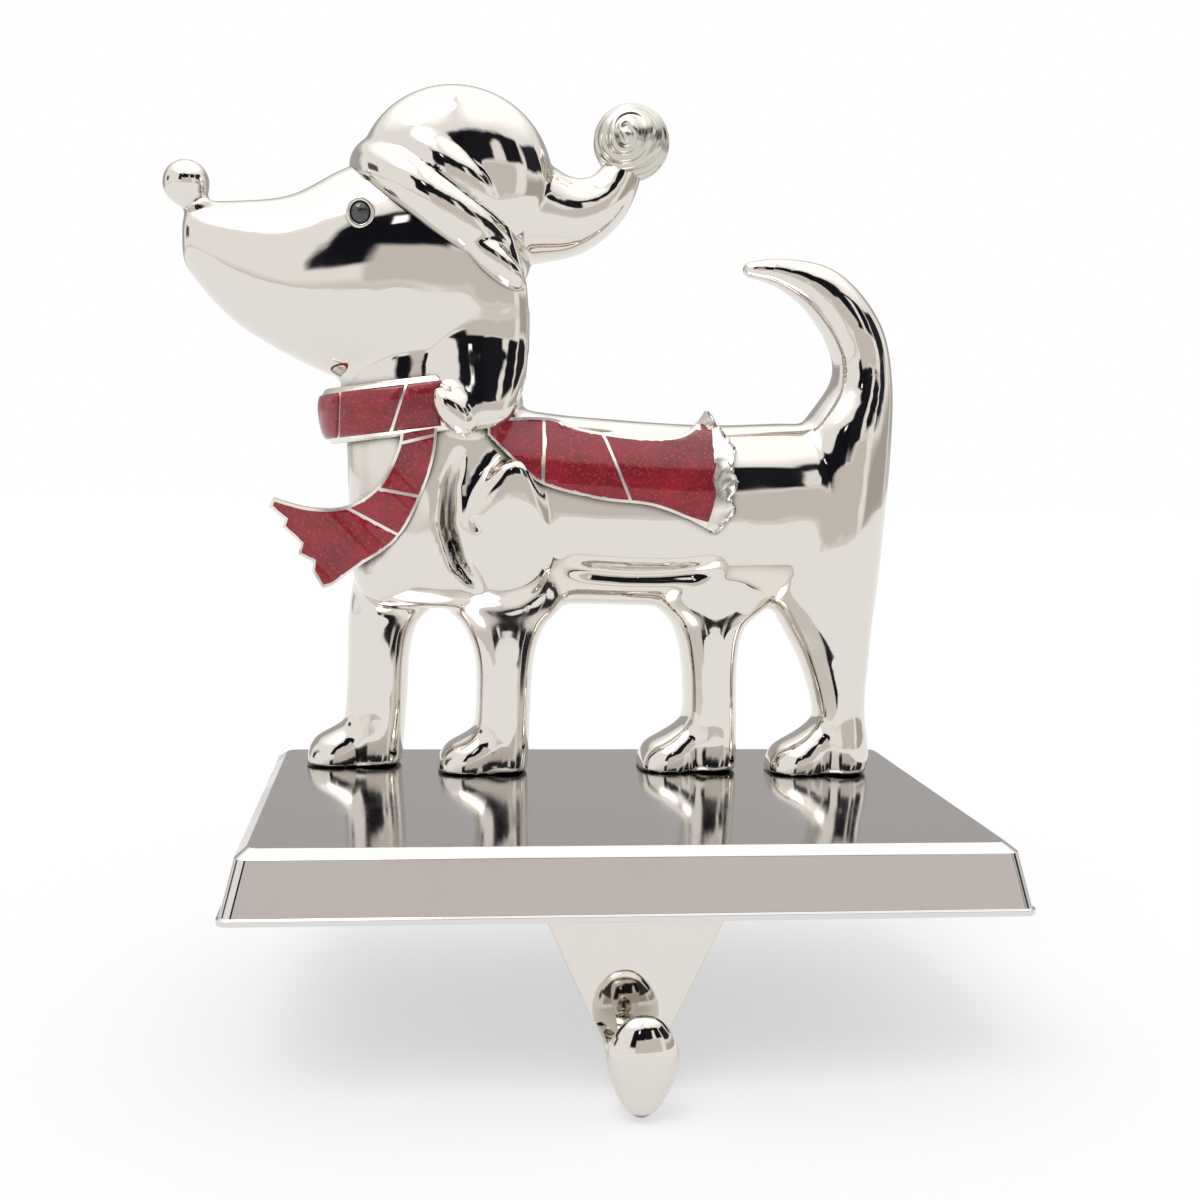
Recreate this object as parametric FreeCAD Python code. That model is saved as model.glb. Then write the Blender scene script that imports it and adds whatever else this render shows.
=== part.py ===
"""Mantel stocking holder: a cast dog in a hat and scarf on a weighted base, with a hook below it.

Millimetres. The origin is the middle of the underside, on the mantel's surface: +X is the
viewer's right, -Y faces the room and +Z is up. The dog looks towards -X.
"""
import FreeCAD, Part
import math
import os

Vec = FreeCAD.Vector
UP = Vec(0, 0, 1)
BACK = Vec(0, 1, 0)

# Base: a hollow cast tray with sloping sides and a flat top.
base_margin = 16.8       # from the screw in the rear foot to the base's end
base_depth = 80.0
base_top = 11.0          # top face above the mantel
rim_lift = 0.3           # the rim stays this far off the mantel, the pad touches it
lip_height = 0.9         # upright lip along the foot of the sides
lip_step = 0.4           # how far the lip stands out of the slope
side_lean = 2.0          # run of the sloping side from lip to bevel
bevel_run = 1.75
bevel_drop = 1.3
corner_radius = 2.0
cavity_wall = 2.6        # from the bevel's inner edge to the cavity
top_thickness = 3.0
rim_wall = 2.0           # metal outside the recess that takes the pad

# Felt pad in its recess, and the iron weight against the roof of the cavity.
pad_thickness = 1.2
pad_gap = 0.3
weight_side_gap = 4.05   # to the cavity's ends
weight_back_gap = 0.25   # to the cavity's rear wall
weight_front_gap = 6.5   # to the bracket's flange
weight_thickness = 4.4
weight_corner = 4.0

# Hook bracket: a flange inside the base, a tapered plate over the mantel's edge, and a strap
# that bends forward and up into a rounded end.
overhang = 6.5           # base in front of the mantel's edge
plate_thickness = 3.0
plate_width = 27.6
plate_shoulder = 0.6     # the plate tapers from here, below the mantel's surface
corner_relief = 0.4      # a shallow step, so that a mantel with a sharp edge seats against the plate
relief_rise = 2.0        # the step's top, above the mantel's surface
waist_width = 4.8
waist_drop = 25.4        # the taper ends here, below the mantel's surface
flange_thickness = 2.5
flange_depth = 20.0      # behind the plate's rear face
flange_fillet = 2.0
boss_height = 1.5
boss_diameter = 8.0
bracket_gap = 0.3
throat = 7.6             # from the plate's front face to the strap's rising arm
hook_drop = 26.9         # lowest point of the bend below the mantel's surface
knob_top = 11.8          # top of the rounded end below the mantel's surface
knob_length = 15.6
knob_width = 10.8
knob_thickness = 6.2

# Screws: M4 with low hexagon heads, two for the dog and two for the bracket.
screw_diameter = 4.0
screw_head_width = 7.0   # across the flats
screw_head_height = 2.0
hole_gap = 0.25
dog_screw_depth = 9.0    # thread inside the leg
bracket_screw_depth = 3.2
bracket_screw_pitch = 15.0
screw_tip_gap = 0.3      # left over at the end of a blind thread

# The dog. Heights are measured from the base's top face.
dog_back = 20.0          # from its middle plane to the base's rear edge
sides = 12               # flats round a section of the body, the hat or a leg
nose_x, nose_z, nose_radius = -75.2, 104.7, 4.3
eye_x, eye_z, eye_radius = -44.4, 99.2, 2.3
eye_depth = 10.6         # from the middle plane to the floor of the socket
eye_socket_gap = 0.5
eye_rim = 0.8            # straight part of the bead below its bevelled dome
eye_dome = 2.1

# Stations of the trunk and head: x, upper edge, lower edge, half width.
TRUNK = [(-38.0, 62.0, 31.0, 10.4), (-22.0, 67.0, 30.8, 11.6), (-4.0, 65.9, 30.9, 11.4),
         (18.0, 64.7, 30.7, 11.0), (43.0, 66.0, 31.0, 10.2)]
HEAD = [(-75.8, 98.6, 91.6, 2.6), (-73.6, 101.6, 88.4, 5.0), (-67.0, 102.0, 81.2, 7.9),
        (-57.0, 103.0, 75.2, 10.4), (-47.0, 108.6, 71.2, 12.1), (-36.0, 112.0, 70.0, 12.9),
        (-25.0, 110.0, 71.6, 12.6), (-17.0, 99.0, 79.0, 9.0)]
# Stations of the chest and neck: height, front x, back x, half width.
CHEST = [(30.4, -42.0, -14.0, 8.8), (36.0, -45.6, -9.0, 11.4), (46.0, -46.5, -7.0, 11.9),
         (60.0, -47.0, -12.2, 11.0), (72.0, -48.6, -17.0, 10.4), (80.0, -44.0, -19.0, 9.6)]
# Stations of the legs: height, front x, back x, half width. They run below the sole and are cut.
FAR_FORELEG = [(-2.0, -47.6, -36.2, 6.4), (12.0, -47.1, -35.5, 5.9), (22.0, -47.0, -35.2, 6.2),
               (27.5, -46.8, -33.4, 6.8), (31.5, -46.4, -28.6, 7.4)]
NEAR_FORELEG = [(-2.0, -23.9, -13.1, 6.6), (12.0, -23.0, -12.8, 6.0), (22.0, -23.5, -12.3, 6.4),
                (27.5, -25.8, -10.4, 7.2), (31.5, -29.8, -6.8, 8.0)]
FAR_HINDLEG = [(-2.0, 15.8, 26.6, 7.2), (12.0, 16.3, 26.3, 6.6), (22.0, 15.5, 26.3, 7.0),
               (27.5, 13.6, 27.6, 7.6), (31.5, 10.0, 32.0, 8.4)]
far_foreleg_y, near_foreleg_y, far_hindleg_y, near_hindleg_y = 4.9, -1.8, 0.1, -3.2
# Stations of the near hind leg, rump and tail: x, height, half length, half width, turn, y.
HIND = [(46.0, -2.0, 5.2, 6.6, 0, -3.2), (45.6, 12.0, 4.9, 6.0, 0, -3.1),
        (44.2, 22.0, 7.0, 6.8, 0, -2.6), (42.6, 28.6, 9.0, 8.4, 0, -1.8),
        (41.8, 35.0, 10.8, 9.8, 0, -0.6), (42.6, 48.0, 11.0, 10.6, 0, 0),
        (45.4, 63.0, 8.9, 8.8, 0, 0), (48.5, 74.0, 5.5, 6.2, 4, 0),
        (46.4, 82.6, 5.4, 5.4, 24, 0), (40.0, 90.0, 4.7, 4.4, 56, 0),
        (32.0, 93.0, 2.7, 3.0, 80, 0), (25.4, 93.4, 1.5, 1.6, 90, 0)]
# Paws: toe tip x, then sizes shared by all four.
far_foretoe, near_foretoe, far_hindtoe, near_hindtoe = -54.6, -30.3, 7.4, 31.6
paw_length = 16.0
toe_height = 6.4
ankle_height = 11.4

# Shoulder on the near side: middle, half sizes and how far it comes out from the middle plane.
shoulder_x, shoulder_z = -18.6, 46.4
shoulder_length, shoulder_height, shoulder_out = 10.0, 14.8, 13.8
# Ears: middle, ends and sizes. Each row gives a share of the height and of the width.
ear_x, ear_top, ear_bottom = -23.3, 99.0, 62.4
ear_width = 18.2
ear_thickness = 5.4
ear_out = 14.2           # outer face of the ear from the middle plane
EAR_ROWS = [(0.0, 0.22), (0.12, 0.62), (0.3, 0.93), (0.5, 1.0), (0.75, 0.86), (1.0, 0.62)]

# Hat: crown, rolled brim, and the tail of the hat with its pompom.
crown_x, crown_z = -28.0, 106.4
crown_length, crown_height, crown_half_width = 17.7, 16.9, 13.6
brim_x, brim_z, brim_turn = -30.2, 101.9, -34.0
brim_half_length, brim_half_width, brim_roll = 16.4, 12.0, 4.0
pompom_x, pompom_z, pompom_radius = 3.7, 115.2, 6.9
# Stations of the hat's tail: x, height, half length, half width, turn.
HAT_TAIL = [(-24.0, 103.5, 10.0, 10.6, 90), (-13.0, 102.6, 9.6, 8.4, 90),
            (-6.4, 102.0, 7.3, 6.2, 100), (-0.6, 105.6, 4.7, 4.6, 132), (2.4, 113.0, 3.2, 3.2, 165)]

# Scarf: how far it stands out of the body, its enamel fields and the metal ribs between them.
scarf_thickness = 1.7
enamel_depth = 0.7
rib_width = 0.7
loop_x, loop_z, loop_turn = -33.5, 66.7, 8.0
loop_half_length, loop_half_width, loop_height = 18.8, 13.4, 9.8
loop_roll = 2.2
loop_face = 0.56         # share of the loop's height between its rolled edges
loop_field_height = 7.6
loop_field_back = -30.5  # the fields of the loop end under the ears
LOOP_RIBS = [(-46.8, -4.0), (-37.6, -20.0)]
# Outlines of the two hanging ends: x and height, the long edges smooth and the fringe jagged.
FRONT_OUTER = [(-37.0, 66.0), (-37.6, 59.3), (-40.9, 52.6), (-46.4, 48.8), (-53.0, 48.2), (-59.6, 49.6)]
FRONT_FRINGE = [(-60.2, 48.0), (-57.6, 45.9), (-57.9, 44.6), (-54.7, 41.8), (-55.0, 39.8),
                (-52.4, 38.7), (-52.3, 36.9), (-50.6, 33.8)]
FRONT_INNER = [(-48.7, 34.6), (-37.6, 43.2), (-33.0, 51.6), (-30.7, 66.0)]
FRONT_RIBS = [((-38.8, 59.0), (-29.6, 61.0)), ((-42.4, 52.2), (-30.0, 50.4)),
              ((-47.6, 48.8), (-35.0, 42.6))]
front_end_y = 11.9       # near face from the middle plane where the end leaves the neck
front_end_x = -33.0
front_end_slant = 11.0   # degrees that it swings away from the room towards its tip
front_end_thickness = 4.2
BACK_UPPER = [(-22.0, 66.4), (-11.0, 65.6), (0.0, 62.4), (11.0, 62.0), (18.4, 67.0)]
BACK_FRINGE = [(20.6, 64.2), (20.2, 61.8), (22.9, 60.0), (21.2, 57.2), (23.0, 54.4), (21.2, 51.8),
               (22.6, 49.0), (18.9, 44.8)]
BACK_LOWER = [(14.4, 47.2), (-1.8, 50.9), (-12.6, 53.6), (-22.0, 61.5)]
BACK_RIBS = [((-11.7, 68.0), (-12.3, 50.0)), ((-2.6, 66.0), (4.6, 48.0))]
field_margin = 0.8       # bright edge left along the enamel
loop_gap = 0.1           # between the hanging end's top field and the loop above it

# Values that follow from the ones above.
base_width = 2 * (HIND[0][0] + base_margin)
dog_y = base_depth / 2 - dog_back
bevel_width = base_width - 2 * (lip_step + side_lean)
bevel_depth = base_depth - 2 * (lip_step + side_lean)
top_width = bevel_width - 2 * bevel_run
top_depth = bevel_depth - 2 * bevel_run
cavity_width = top_width - 2 * cavity_wall
cavity_depth = top_depth - 2 * cavity_wall
roof_z = base_top - top_thickness
plate_rear_y = overhang - base_depth / 2
plate_front_y = plate_rear_y - plate_thickness
arm_back_y = plate_front_y - throat
arm_front_y = arm_back_y - plate_thickness
flange_top = roof_z - boss_height
flange_under = flange_top - flange_thickness
bracket_screw_y = plate_rear_y + flange_depth / 2
weight_under = roof_z - weight_thickness
weight_width = cavity_width - 2 * weight_side_gap
weight_front_y = plate_rear_y + flange_depth + weight_front_gap
weight_back_y = cavity_depth / 2 - weight_back_gap
far_side = base_width + base_depth    # longer than anything that a cutting shape must pass


def rounded_rect(width, depth, radius, z, centre_y=0.0):
    """A closed outline of four lines and four arcs at height z."""
    diagonal = radius * math.sqrt(0.5)
    edges = []
    for turn in range(4):
        out, along = (width / 2, depth / 2) if turn % 2 == 0 else (depth / 2, width / 2)
        spots = [Vec(out, radius - along, z), Vec(out, along - radius, z),
                 Vec(out - radius + diagonal, along - radius + diagonal, z),
                 Vec(out - radius, along, z)]
        spin = FreeCAD.Rotation(UP, 90 * turn)
        side_start, side_end, middle, arc_end = [spin.multVec(p) + BACK * centre_y for p in spots]
        edges += [Part.LineSegment(side_start, side_end).toShape(),
                  Part.Arc(side_end, middle, arc_end).toShape()]
    return Part.Wire(edges)


def slab(width, depth, radius, low, high, centre_y=0.0):
    """A plate with rounded corners between two heights."""
    face = Part.Face(rounded_rect(width, depth, radius, low, centre_y))
    return face.extrude(UP * (high - low))


def section(centre, direction, across, along_half, across_half, fullness=1.0):
    """Corners of a closed section. Fullness 1 is an ellipse, and less is squarer."""
    corners = []
    for number in range(sides):
        angle = 2 * math.pi * number / sides
        a, b = (math.copysign(abs(value) ** fullness, value)
                for value in (math.cos(angle), math.sin(angle)))
        corners.append(centre + direction * (along_half * a) + across * (across_half * b))
    return corners


def ring(x, z, along, across, y=0.0, turn=0.0, fullness=1.0):
    """A section of the dog that spans `along` each way, in a direction turned up from +X by
    `turn` degrees, and `across` each way in Y."""
    direction = Vec(math.cos(math.radians(turn)), 0, math.sin(math.radians(turn)))
    centre = Vec(x, dog_y + y, base_top + z)
    return section(centre, direction, BACK, along, across, fullness)


def closed(corners):
    return Part.makePolygon(corners + corners[:1])


def loft(sections):
    """A body that curves smoothly from section to section."""
    return Part.makeLoft([closed(corners) for corners in sections], True)


def faceted(sections):
    """A body in flats between sections; a flat that would twist is made of two triangles."""
    faces = [Part.Face(closed(sections[0])), Part.Face(closed(sections[-1]))]
    for low, high in zip(sections, sections[1:]):
        for number in range(sides):
            other = (number + 1) % sides
            a, b, c, d = low[number], low[other], high[other], high[number]
            if abs((b - a).cross(c - a).normalize().dot(d - a)) < 1e-6:
                faces.append(Part.Face(closed([a, b, c, d])))
            else:
                faces += [Part.Face(closed([a, b, c])), Part.Face(closed([a, c, d]))]
    return Part.Solid(Part.Shell(faces))


def along_x(stations, grow=0.0):
    """A body whose stations are upright sections: x, upper edge, lower edge, half width."""
    return loft([ring(x, (top + low) / 2, (top - low) / 2 + grow, wide + grow, turn=90, fullness=0.9)
                 for x, top, low, wide in stations])


def upright(stations, y=0.0, grow=0.0, fullness=0.9):
    """A body whose stations are level sections: height, front x, back x, half width."""
    return faceted([ring((front + back) / 2, z, (back - front) / 2 + grow, wide + grow, y, 0, fullness)
                    for z, front, back, wide in stations])


def ball(x, z, radius_x, radius_y, radius_z, rows=8):
    """An egg shape in flats: level sections between two small end faces."""
    rings = []
    for row in range(rows + 1):
        angle = math.pi * (row / rows - 0.5)
        share = max(math.cos(angle), 0.2)
        rings.append(ring(x, z + radius_z * math.sin(angle), radius_x * share, radius_y * share))
    return faceted(rings)


def side_outline(groups, y):
    """A face seen from the side. Each group is its points, as x and height, and whether one
    smooth curve joins them; straight lines join the groups."""
    edges = []
    for number, (spots, smooth) in enumerate(groups):
        points = [Vec(x, dog_y + y, base_top + z) for x, z in spots]
        if smooth:
            curve = Part.BSplineCurve()
            curve.interpolate(points)
            edges.append(curve.toShape())
        else:
            edges += [Part.LineSegment(a, b).toShape() for a, b in zip(points, points[1:])]
        next_x, next_z = groups[(number + 1) % len(groups)][0][0]
        edges.append(Part.LineSegment(points[-1], Vec(next_x, dog_y + y, base_top + next_z)).toShape())
    return Part.Face(Part.Wire(edges))


def side_prism(groups, low_y, high_y):
    """A side outline swept in Y between two distances from the middle plane."""
    return side_outline(groups, low_y).extrude(BACK * (high_y - low_y))


def rib_wall(start, end, low_y, high_y):
    """A thin wall along a line seen from the side: it keeps metal between two fields."""
    run = Vec(end[0] - start[0], 0, end[1] - start[1])
    side = Vec(run.z, 0, -run.x).normalize() * (rib_width / 2)
    corners = [(start[0] + side.x, start[1] + side.z), (end[0] + side.x, end[1] + side.z),
               (end[0] - side.x, end[1] - side.z), (start[0] - side.x, start[1] - side.z)]
    return side_prism([(corners, False)], low_y, high_y)


def shifted(spots, dx, dz):
    return [(x + dx, z + dz) for x, z in spots]


def trunk_and_chest(grow=0.0):
    return along_x(TRUNK, grow).fuse(upright(CHEST, grow=grow))


def paw(toe_x, y, half_width):
    """A low rounded block that rises from the toes to the ankle."""
    rows = [(0.0, 0.4 * toe_height, 0.45), (0.1, 0.82 * toe_height, 0.84), (0.3, toe_height, 1.0),
            (0.5, 0.8 * ankle_height, 0.94), (0.62, ankle_height, 0.8)]
    return faceted([ring(toe_x + paw_length * share, 0, height, half_width * wide, y, 90, 0.8)
                    for share, height, wide in rows])


def legs():
    hind = loft([ring(x, z, along, across, y, turn, 0.9) for x, z, along, across, turn, y in HIND])
    parts = [hind]
    for stations, y, toe in ((FAR_FORELEG, far_foreleg_y, far_foretoe),
                             (NEAR_FORELEG, near_foreleg_y, near_foretoe),
                             (FAR_HINDLEG, far_hindleg_y, far_hindtoe)):
        parts += [upright(stations, y, fullness=0.75), paw(toe, y, stations[0][3])]
    return parts + [paw(near_hindtoe, near_hindleg_y, HIND[0][3])]


def shoulder():
    """The oval of the shoulder, raised on the near side of the chest."""
    rows = [(0.2 * shoulder_out, 1.0), (0.85 * shoulder_out, 1.0), (0.95 * shoulder_out, 0.88),
            (shoulder_out, 0.55)]
    return faceted([section(Vec(shoulder_x, dog_y - out, base_top + shoulder_z), Vec(1, 0, 0), UP,
                            shoulder_length * share, shoulder_height * share) for out, share in rows])


def ear(side):
    """A drooping ear; side is -1 for the near one and +1 for the far one."""
    height = ear_top - ear_bottom
    middle = side * (ear_out - ear_thickness)
    return faceted([ring(ear_x, ear_bottom + height * share, ear_width / 2 * wide,
                         ear_thickness * (0.55 + 0.45 * wide), middle) for share, wide in EAR_ROWS])


def hat():
    """Crown, rolled brim, tail and pompom."""
    crown = ball(crown_x, crown_z, crown_length, crown_half_width, crown_height)
    rows = []
    for degrees in (-90, -50, -18, 18, 50, 90):
        share = 1 + brim_roll / brim_half_length * math.cos(math.radians(degrees))
        rows.append(section(UP * (brim_roll * math.sin(math.radians(degrees))), Vec(1, 0, 0), BACK,
                            brim_half_length * share, brim_half_width * share))
    brim = faceted(rows)
    brim.rotate(Vec(0, 0, 0), BACK, -brim_turn)
    brim.translate(Vec(brim_x, dog_y, base_top + brim_z))
    tail = loft([ring(x, z, along, across, 0, turn) for x, z, along, across, turn in HAT_TAIL])
    return [crown, brim, tail, ball(pompom_x, pompom_z, pompom_radius, pompom_radius, pompom_radius)]


def scarf_loop(shrink=0.0):
    """The turn of scarf round the neck, a band with rolled edges; shrink draws its face inwards."""
    tilt = math.radians(loop_turn)
    rings = []
    for share, inset in ((-0.5, loop_roll), (-loop_face / 2, 0.0), (loop_face / 2, 0.0),
                         (0.5, loop_roll)):
        lift = loop_height * share
        size = 1 - (inset + shrink) / loop_half_length
        rings.append(ring(loop_x - lift * math.sin(tilt), loop_z + lift * math.cos(tilt),
                          loop_half_length * size, loop_half_width * size, turn=loop_turn))
    return faceted(rings)


def loop_fields():
    """Enamel fields of the loop: its skin, cut into fields by the ribs."""
    skin = scarf_loop().cut(scarf_loop(shrink=enamel_depth))
    tilt = math.radians(loop_turn)
    corners = []
    for x, rise in ((-far_side, -0.5), (loop_field_back, -0.5), (loop_field_back, 0.5), (-far_side, 0.5)):
        lift = loop_field_height * rise
        corners.append((x, loop_z + lift / math.cos(tilt) + (x - loop_x) * math.tan(tilt)))
    fields = skin.common(side_prism([(corners, False)], -far_side, far_side))
    for x, lean in LOOP_RIBS:
        run = loop_height * math.tan(math.radians(lean))
        wall = rib_wall((x - run, loop_z + loop_height), (x + run, loop_z - loop_height),
                        -far_side, far_side)
        fields = fields.cut(wall)
    return fields


def slanted(low, high):
    """A wide slab along the slanted near face of the scarf's front end, from low to high
    behind that face."""
    box = Part.makeBox(2 * far_side, high - low, 2 * far_side, Vec(-far_side, low, -far_side))
    box.rotate(Vec(0, 0, 0), UP, -front_end_slant)
    box.translate(Vec(front_end_x, dog_y - front_end_y, base_top))
    return box


def front_end():
    outline = [(FRONT_OUTER, True), (FRONT_FRINGE, False), (FRONT_INNER, True)]
    return side_prism(outline, -far_side, 0.0).common(slanted(0.0, front_end_thickness))


def front_fields():
    """Enamel fields of the hanging end, inside its bright edges and between its ribs."""
    outline = [(shifted(FRONT_OUTER, 0.3, -field_margin), True),
               (shifted(FRONT_FRINGE, field_margin, 0.1), False),
               (shifted(FRONT_INNER, -0.5, field_margin), True)]
    fields = side_prism(outline, -far_side, 0.0).common(slanted(-1.0, enamel_depth))
    for start, end in FRONT_RIBS:
        fields = fields.cut(rib_wall(start, end, -far_side, 0.0))
    return fields.common(front_end()).cut(scarf_loop(shrink=-loop_gap))


def back_end():
    outline = [(BACK_UPPER, True), (BACK_FRINGE, False), (BACK_LOWER, True)]
    return trunk_and_chest(scarf_thickness).common(side_prism(outline, -far_side, 0.0))


def back_fields():
    """Enamel fields of the end that lies along the flank."""
    upper = shifted(BACK_UPPER, 0, -field_margin)
    fringe = shifted(BACK_FRINGE, -field_margin, 0)
    lower = shifted(BACK_LOWER, 0, field_margin)
    skin = trunk_and_chest(scarf_thickness).cut(trunk_and_chest(scarf_thickness - enamel_depth))
    fields = skin.common(side_prism([(upper, True), (fringe, False), (lower, True)], -far_side, -2.0))
    for start, finish in BACK_RIBS:
        fields = fields.cut(rib_wall(start, finish, -far_side, 0.0))
    return fields


def eye_bead(side):
    """A domed bead in flats, whose flat back seats on the floor of its socket."""
    rows = [(0.0, 1.0), (eye_rim, 1.0), (0.75 * eye_dome, 0.75), (eye_dome, 0.4)]
    floor = Vec(eye_x, dog_y + side * eye_depth, base_top + eye_z)
    return faceted([section(floor + BACK * (side * out), Vec(1, 0, 0), UP, eye_radius * share,
                            eye_radius * share) for out, share in rows])


def eye_socket(side):
    floor = Vec(eye_x, dog_y + side * eye_depth, base_top + eye_z)
    return Part.makeCylinder(eye_radius + eye_socket_gap, eye_depth, floor, BACK * side)


def dog_screw_places():
    """The far foreleg and the near hind leg each take one screw, in the middle of the foot."""
    fore = ((FAR_FORELEG[0][1] + FAR_FORELEG[0][2]) / 2, dog_y + far_foreleg_y)
    hind = (HIND[0][0], dog_y + near_hindleg_y)
    return [fore, hind]


def bracket_screw_places():
    return [(side * bracket_screw_pitch / 2, bracket_screw_y) for side in (-1, 1)]


def screw(x, y, seat, length):
    """A hexagon screw that points up; its head bears at the height seat."""
    reach = screw_head_width / 2 / math.cos(math.radians(30))
    turns = [math.radians(60 * number) for number in range(7)]
    corners = [Vec(x + reach * math.cos(a), y + reach * math.sin(a), seat) for a in turns]
    head = Part.Face(Part.makePolygon(corners)).extrude(Vec(0, 0, -screw_head_height))
    return head.fuse(Part.makeCylinder(screw_diameter / 2, length, Vec(x, y, seat)))


def holes(places, diameter, low, high):
    return [Part.makeCylinder(diameter / 2, high - low, Vec(x, y, low)) for x, y in places]


def dog_figurine(fields):
    """One casting: trunk, head, legs, tail, ears, hat and scarf, less the enamel and sockets."""
    parts = [upright(CHEST), along_x(HEAD), ear(-1), ear(1), scarf_loop(), front_end(), back_end(),
             shoulder(), ball(nose_x, nose_z, nose_radius, nose_radius, nose_radius)]
    body = along_x(TRUNK).multiFuse(parts + legs() + hat())
    sole_cut = Part.makeBox(2 * far_side, 2 * far_side, far_side, Vec(-far_side, -far_side, -far_side))
    sole_cut.translate(UP * base_top)
    threads = holes(dog_screw_places(), screw_diameter, 0, base_top + dog_screw_depth)
    return body.cut([sole_cut, eye_socket(-1), eye_socket(1)] + threads + fields)


def base_shell():
    """The cast tray with its pad recess, cavity, bracket notch, bosses and screw holes."""
    body = Part.makeLoft([rounded_rect(base_width - 2 * lip_step, base_depth - 2 * lip_step,
                                       corner_radius, rim_lift),
                          rounded_rect(bevel_width, bevel_depth, corner_radius, base_top - bevel_drop),
                          rounded_rect(top_width, top_depth, corner_radius, base_top)], True, True)
    body = body.fuse(slab(base_width, base_depth, corner_radius, rim_lift, rim_lift + lip_height))
    cavity = slab(cavity_width, cavity_depth, corner_radius, 0, roof_z)
    recess = slab(base_width - 2 * rim_wall, base_depth - 2 * rim_wall, corner_radius, 0,
                  pad_thickness)
    notch = Part.makeBox(plate_width + 2 * bracket_gap, -plate_front_y, roof_z,
                         Vec(-plate_width / 2 - bracket_gap, plate_front_y - bracket_gap, 0))
    body = body.cut([cavity, recess, notch])
    body = body.multiFuse(holes(bracket_screw_places(), boss_diameter, flange_top, roof_z))
    bores = holes(bracket_screw_places(), screw_diameter, 0, flange_top + bracket_screw_depth)
    bores += holes(dog_screw_places(), screw_diameter + 2 * hole_gap, 0, base_top + 1)
    return body.cut(bores).removeSplitter()


def base_pad():
    """Felt sheet that fills the recess, notched round the bracket's plate."""
    inset = 2 * (rim_wall + pad_gap)
    sheet = slab(base_width - inset, base_depth - inset, corner_radius, 0, pad_thickness)
    notch_width = plate_width + 2 * (bracket_gap + pad_gap)
    notch = Part.makeBox(notch_width, base_depth, 3 * pad_thickness,
                         Vec(-notch_width / 2, plate_rear_y + pad_gap - base_depth, -pad_thickness))
    return sheet.cut(notch)


def ballast_weight():
    weight = slab(weight_width, weight_back_y - weight_front_y, weight_corner, weight_under, roof_z,
                  (weight_back_y + weight_front_y) / 2)
    return weight.cut(holes(dog_screw_places(), screw_diameter + 2 * hole_gap, 0, base_top))


def hook_strap():
    """Plate, bend and rising arm: a bent strip, trimmed to the taper that shows from the front."""
    bend_y = (plate_rear_y + arm_front_y) / 2
    bend_z = (plate_rear_y - arm_front_y) / 2 - hook_drop
    inner_low = plate_thickness - hook_drop
    arm_top = -(knob_top + knob_length / 2)
    left = -plate_width / 2
    spots = {"rear top": (plate_rear_y, flange_top), "rear low": (plate_rear_y, bend_z),
             "bottom": (bend_y, -hook_drop), "front low": (arm_front_y, bend_z),
             "front top": (arm_front_y, arm_top), "arm top": (arm_back_y, arm_top),
             "arm low": (arm_back_y, bend_z), "inner bottom": (bend_y, inner_low),
             "plate low": (plate_front_y, bend_z), "plate top": (plate_front_y, flange_top)}
    at = {name: Vec(left, y, z) for name, (y, z) in spots.items()}
    line = lambda a, b: Part.LineSegment(at[a], at[b]).toShape()
    arc = lambda a, b, c: Part.Arc(at[a], at[b], at[c]).toShape()
    profile = Part.Wire([line("rear top", "rear low"), arc("rear low", "bottom", "front low"),
                         line("front low", "front top"), line("front top", "arm top"),
                         line("arm top", "arm low"), arc("arm low", "inner bottom", "plate low"),
                         line("plate low", "plate top"), line("plate top", "rear top")])
    strip = Part.Face(profile).extrude(Vec(plate_width, 0, 0))
    half, waist = plate_width / 2, waist_width / 2
    taper = [(-half, flange_top), (half, flange_top), (half, -plate_shoulder), (waist, -waist_drop),
             (waist, -2 * hook_drop), (-waist, -2 * hook_drop), (-waist, -waist_drop),
             (-half, -plate_shoulder)]
    corners = [Vec(x, -far_side, z) for x, z in taper]
    trim = Part.Face(Part.makePolygon(corners + corners[:1])).extrude(Vec(0, 2 * far_side, 0))
    return strip.common(trim)


def hook_knob():
    """The rounded end: a drop shape that stands on the rising arm."""
    rows = [(0.0, 0.30), (0.1, 0.62), (0.25, 0.90), (0.40, 1.0), (0.55, 0.93), (0.75, 0.72), (1.0, 0.44)]
    middle_y = (arm_back_y + arm_front_y) / 2 - (knob_thickness - plate_thickness) / 4
    return faceted([section(Vec(0, middle_y, -knob_top - knob_length * share), Vec(1, 0, 0), BACK,
                            knob_width / 2 * wide, knob_thickness / 2 * wide)
                    for share, wide in rows])


def hook_bracket():
    """Flange, tapered plate and hooked end in one casting."""
    flange = Part.makeBox(plate_width, plate_thickness + flange_depth, flange_thickness,
                          Vec(-plate_width / 2, plate_front_y, flange_under))
    body = hook_strap().fuse(flange).removeSplitter()
    corner = [edge for edge in body.Edges
              if abs(edge.BoundBox.YMin - plate_rear_y) < 1e-6 and abs(edge.BoundBox.YMax - plate_rear_y) < 1e-6
              and abs(edge.BoundBox.ZMin - flange_under) < 1e-6 and edge.BoundBox.XLength > waist_width]
    relief = Part.makeBox(2 * plate_width, corner_relief, plate_shoulder + relief_rise,
                          Vec(-plate_width, plate_rear_y - corner_relief, -plate_shoulder))
    body = body.makeFillet(flange_fillet, corner).fuse(hook_knob()).cut(relief)
    return body.cut(holes(bracket_screw_places(), screw_diameter + 2 * hole_gap, 0, base_top))


def dog_screws():
    length = base_top - weight_under + dog_screw_depth - screw_tip_gap
    return Part.makeCompound([screw(x, y, weight_under, length) for x, y in dog_screw_places()])


def bracket_screws():
    length = flange_thickness + bracket_screw_depth - screw_tip_gap
    return Part.makeCompound([screw(x, y, flange_under, length) for x, y in bracket_screw_places()])


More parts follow.
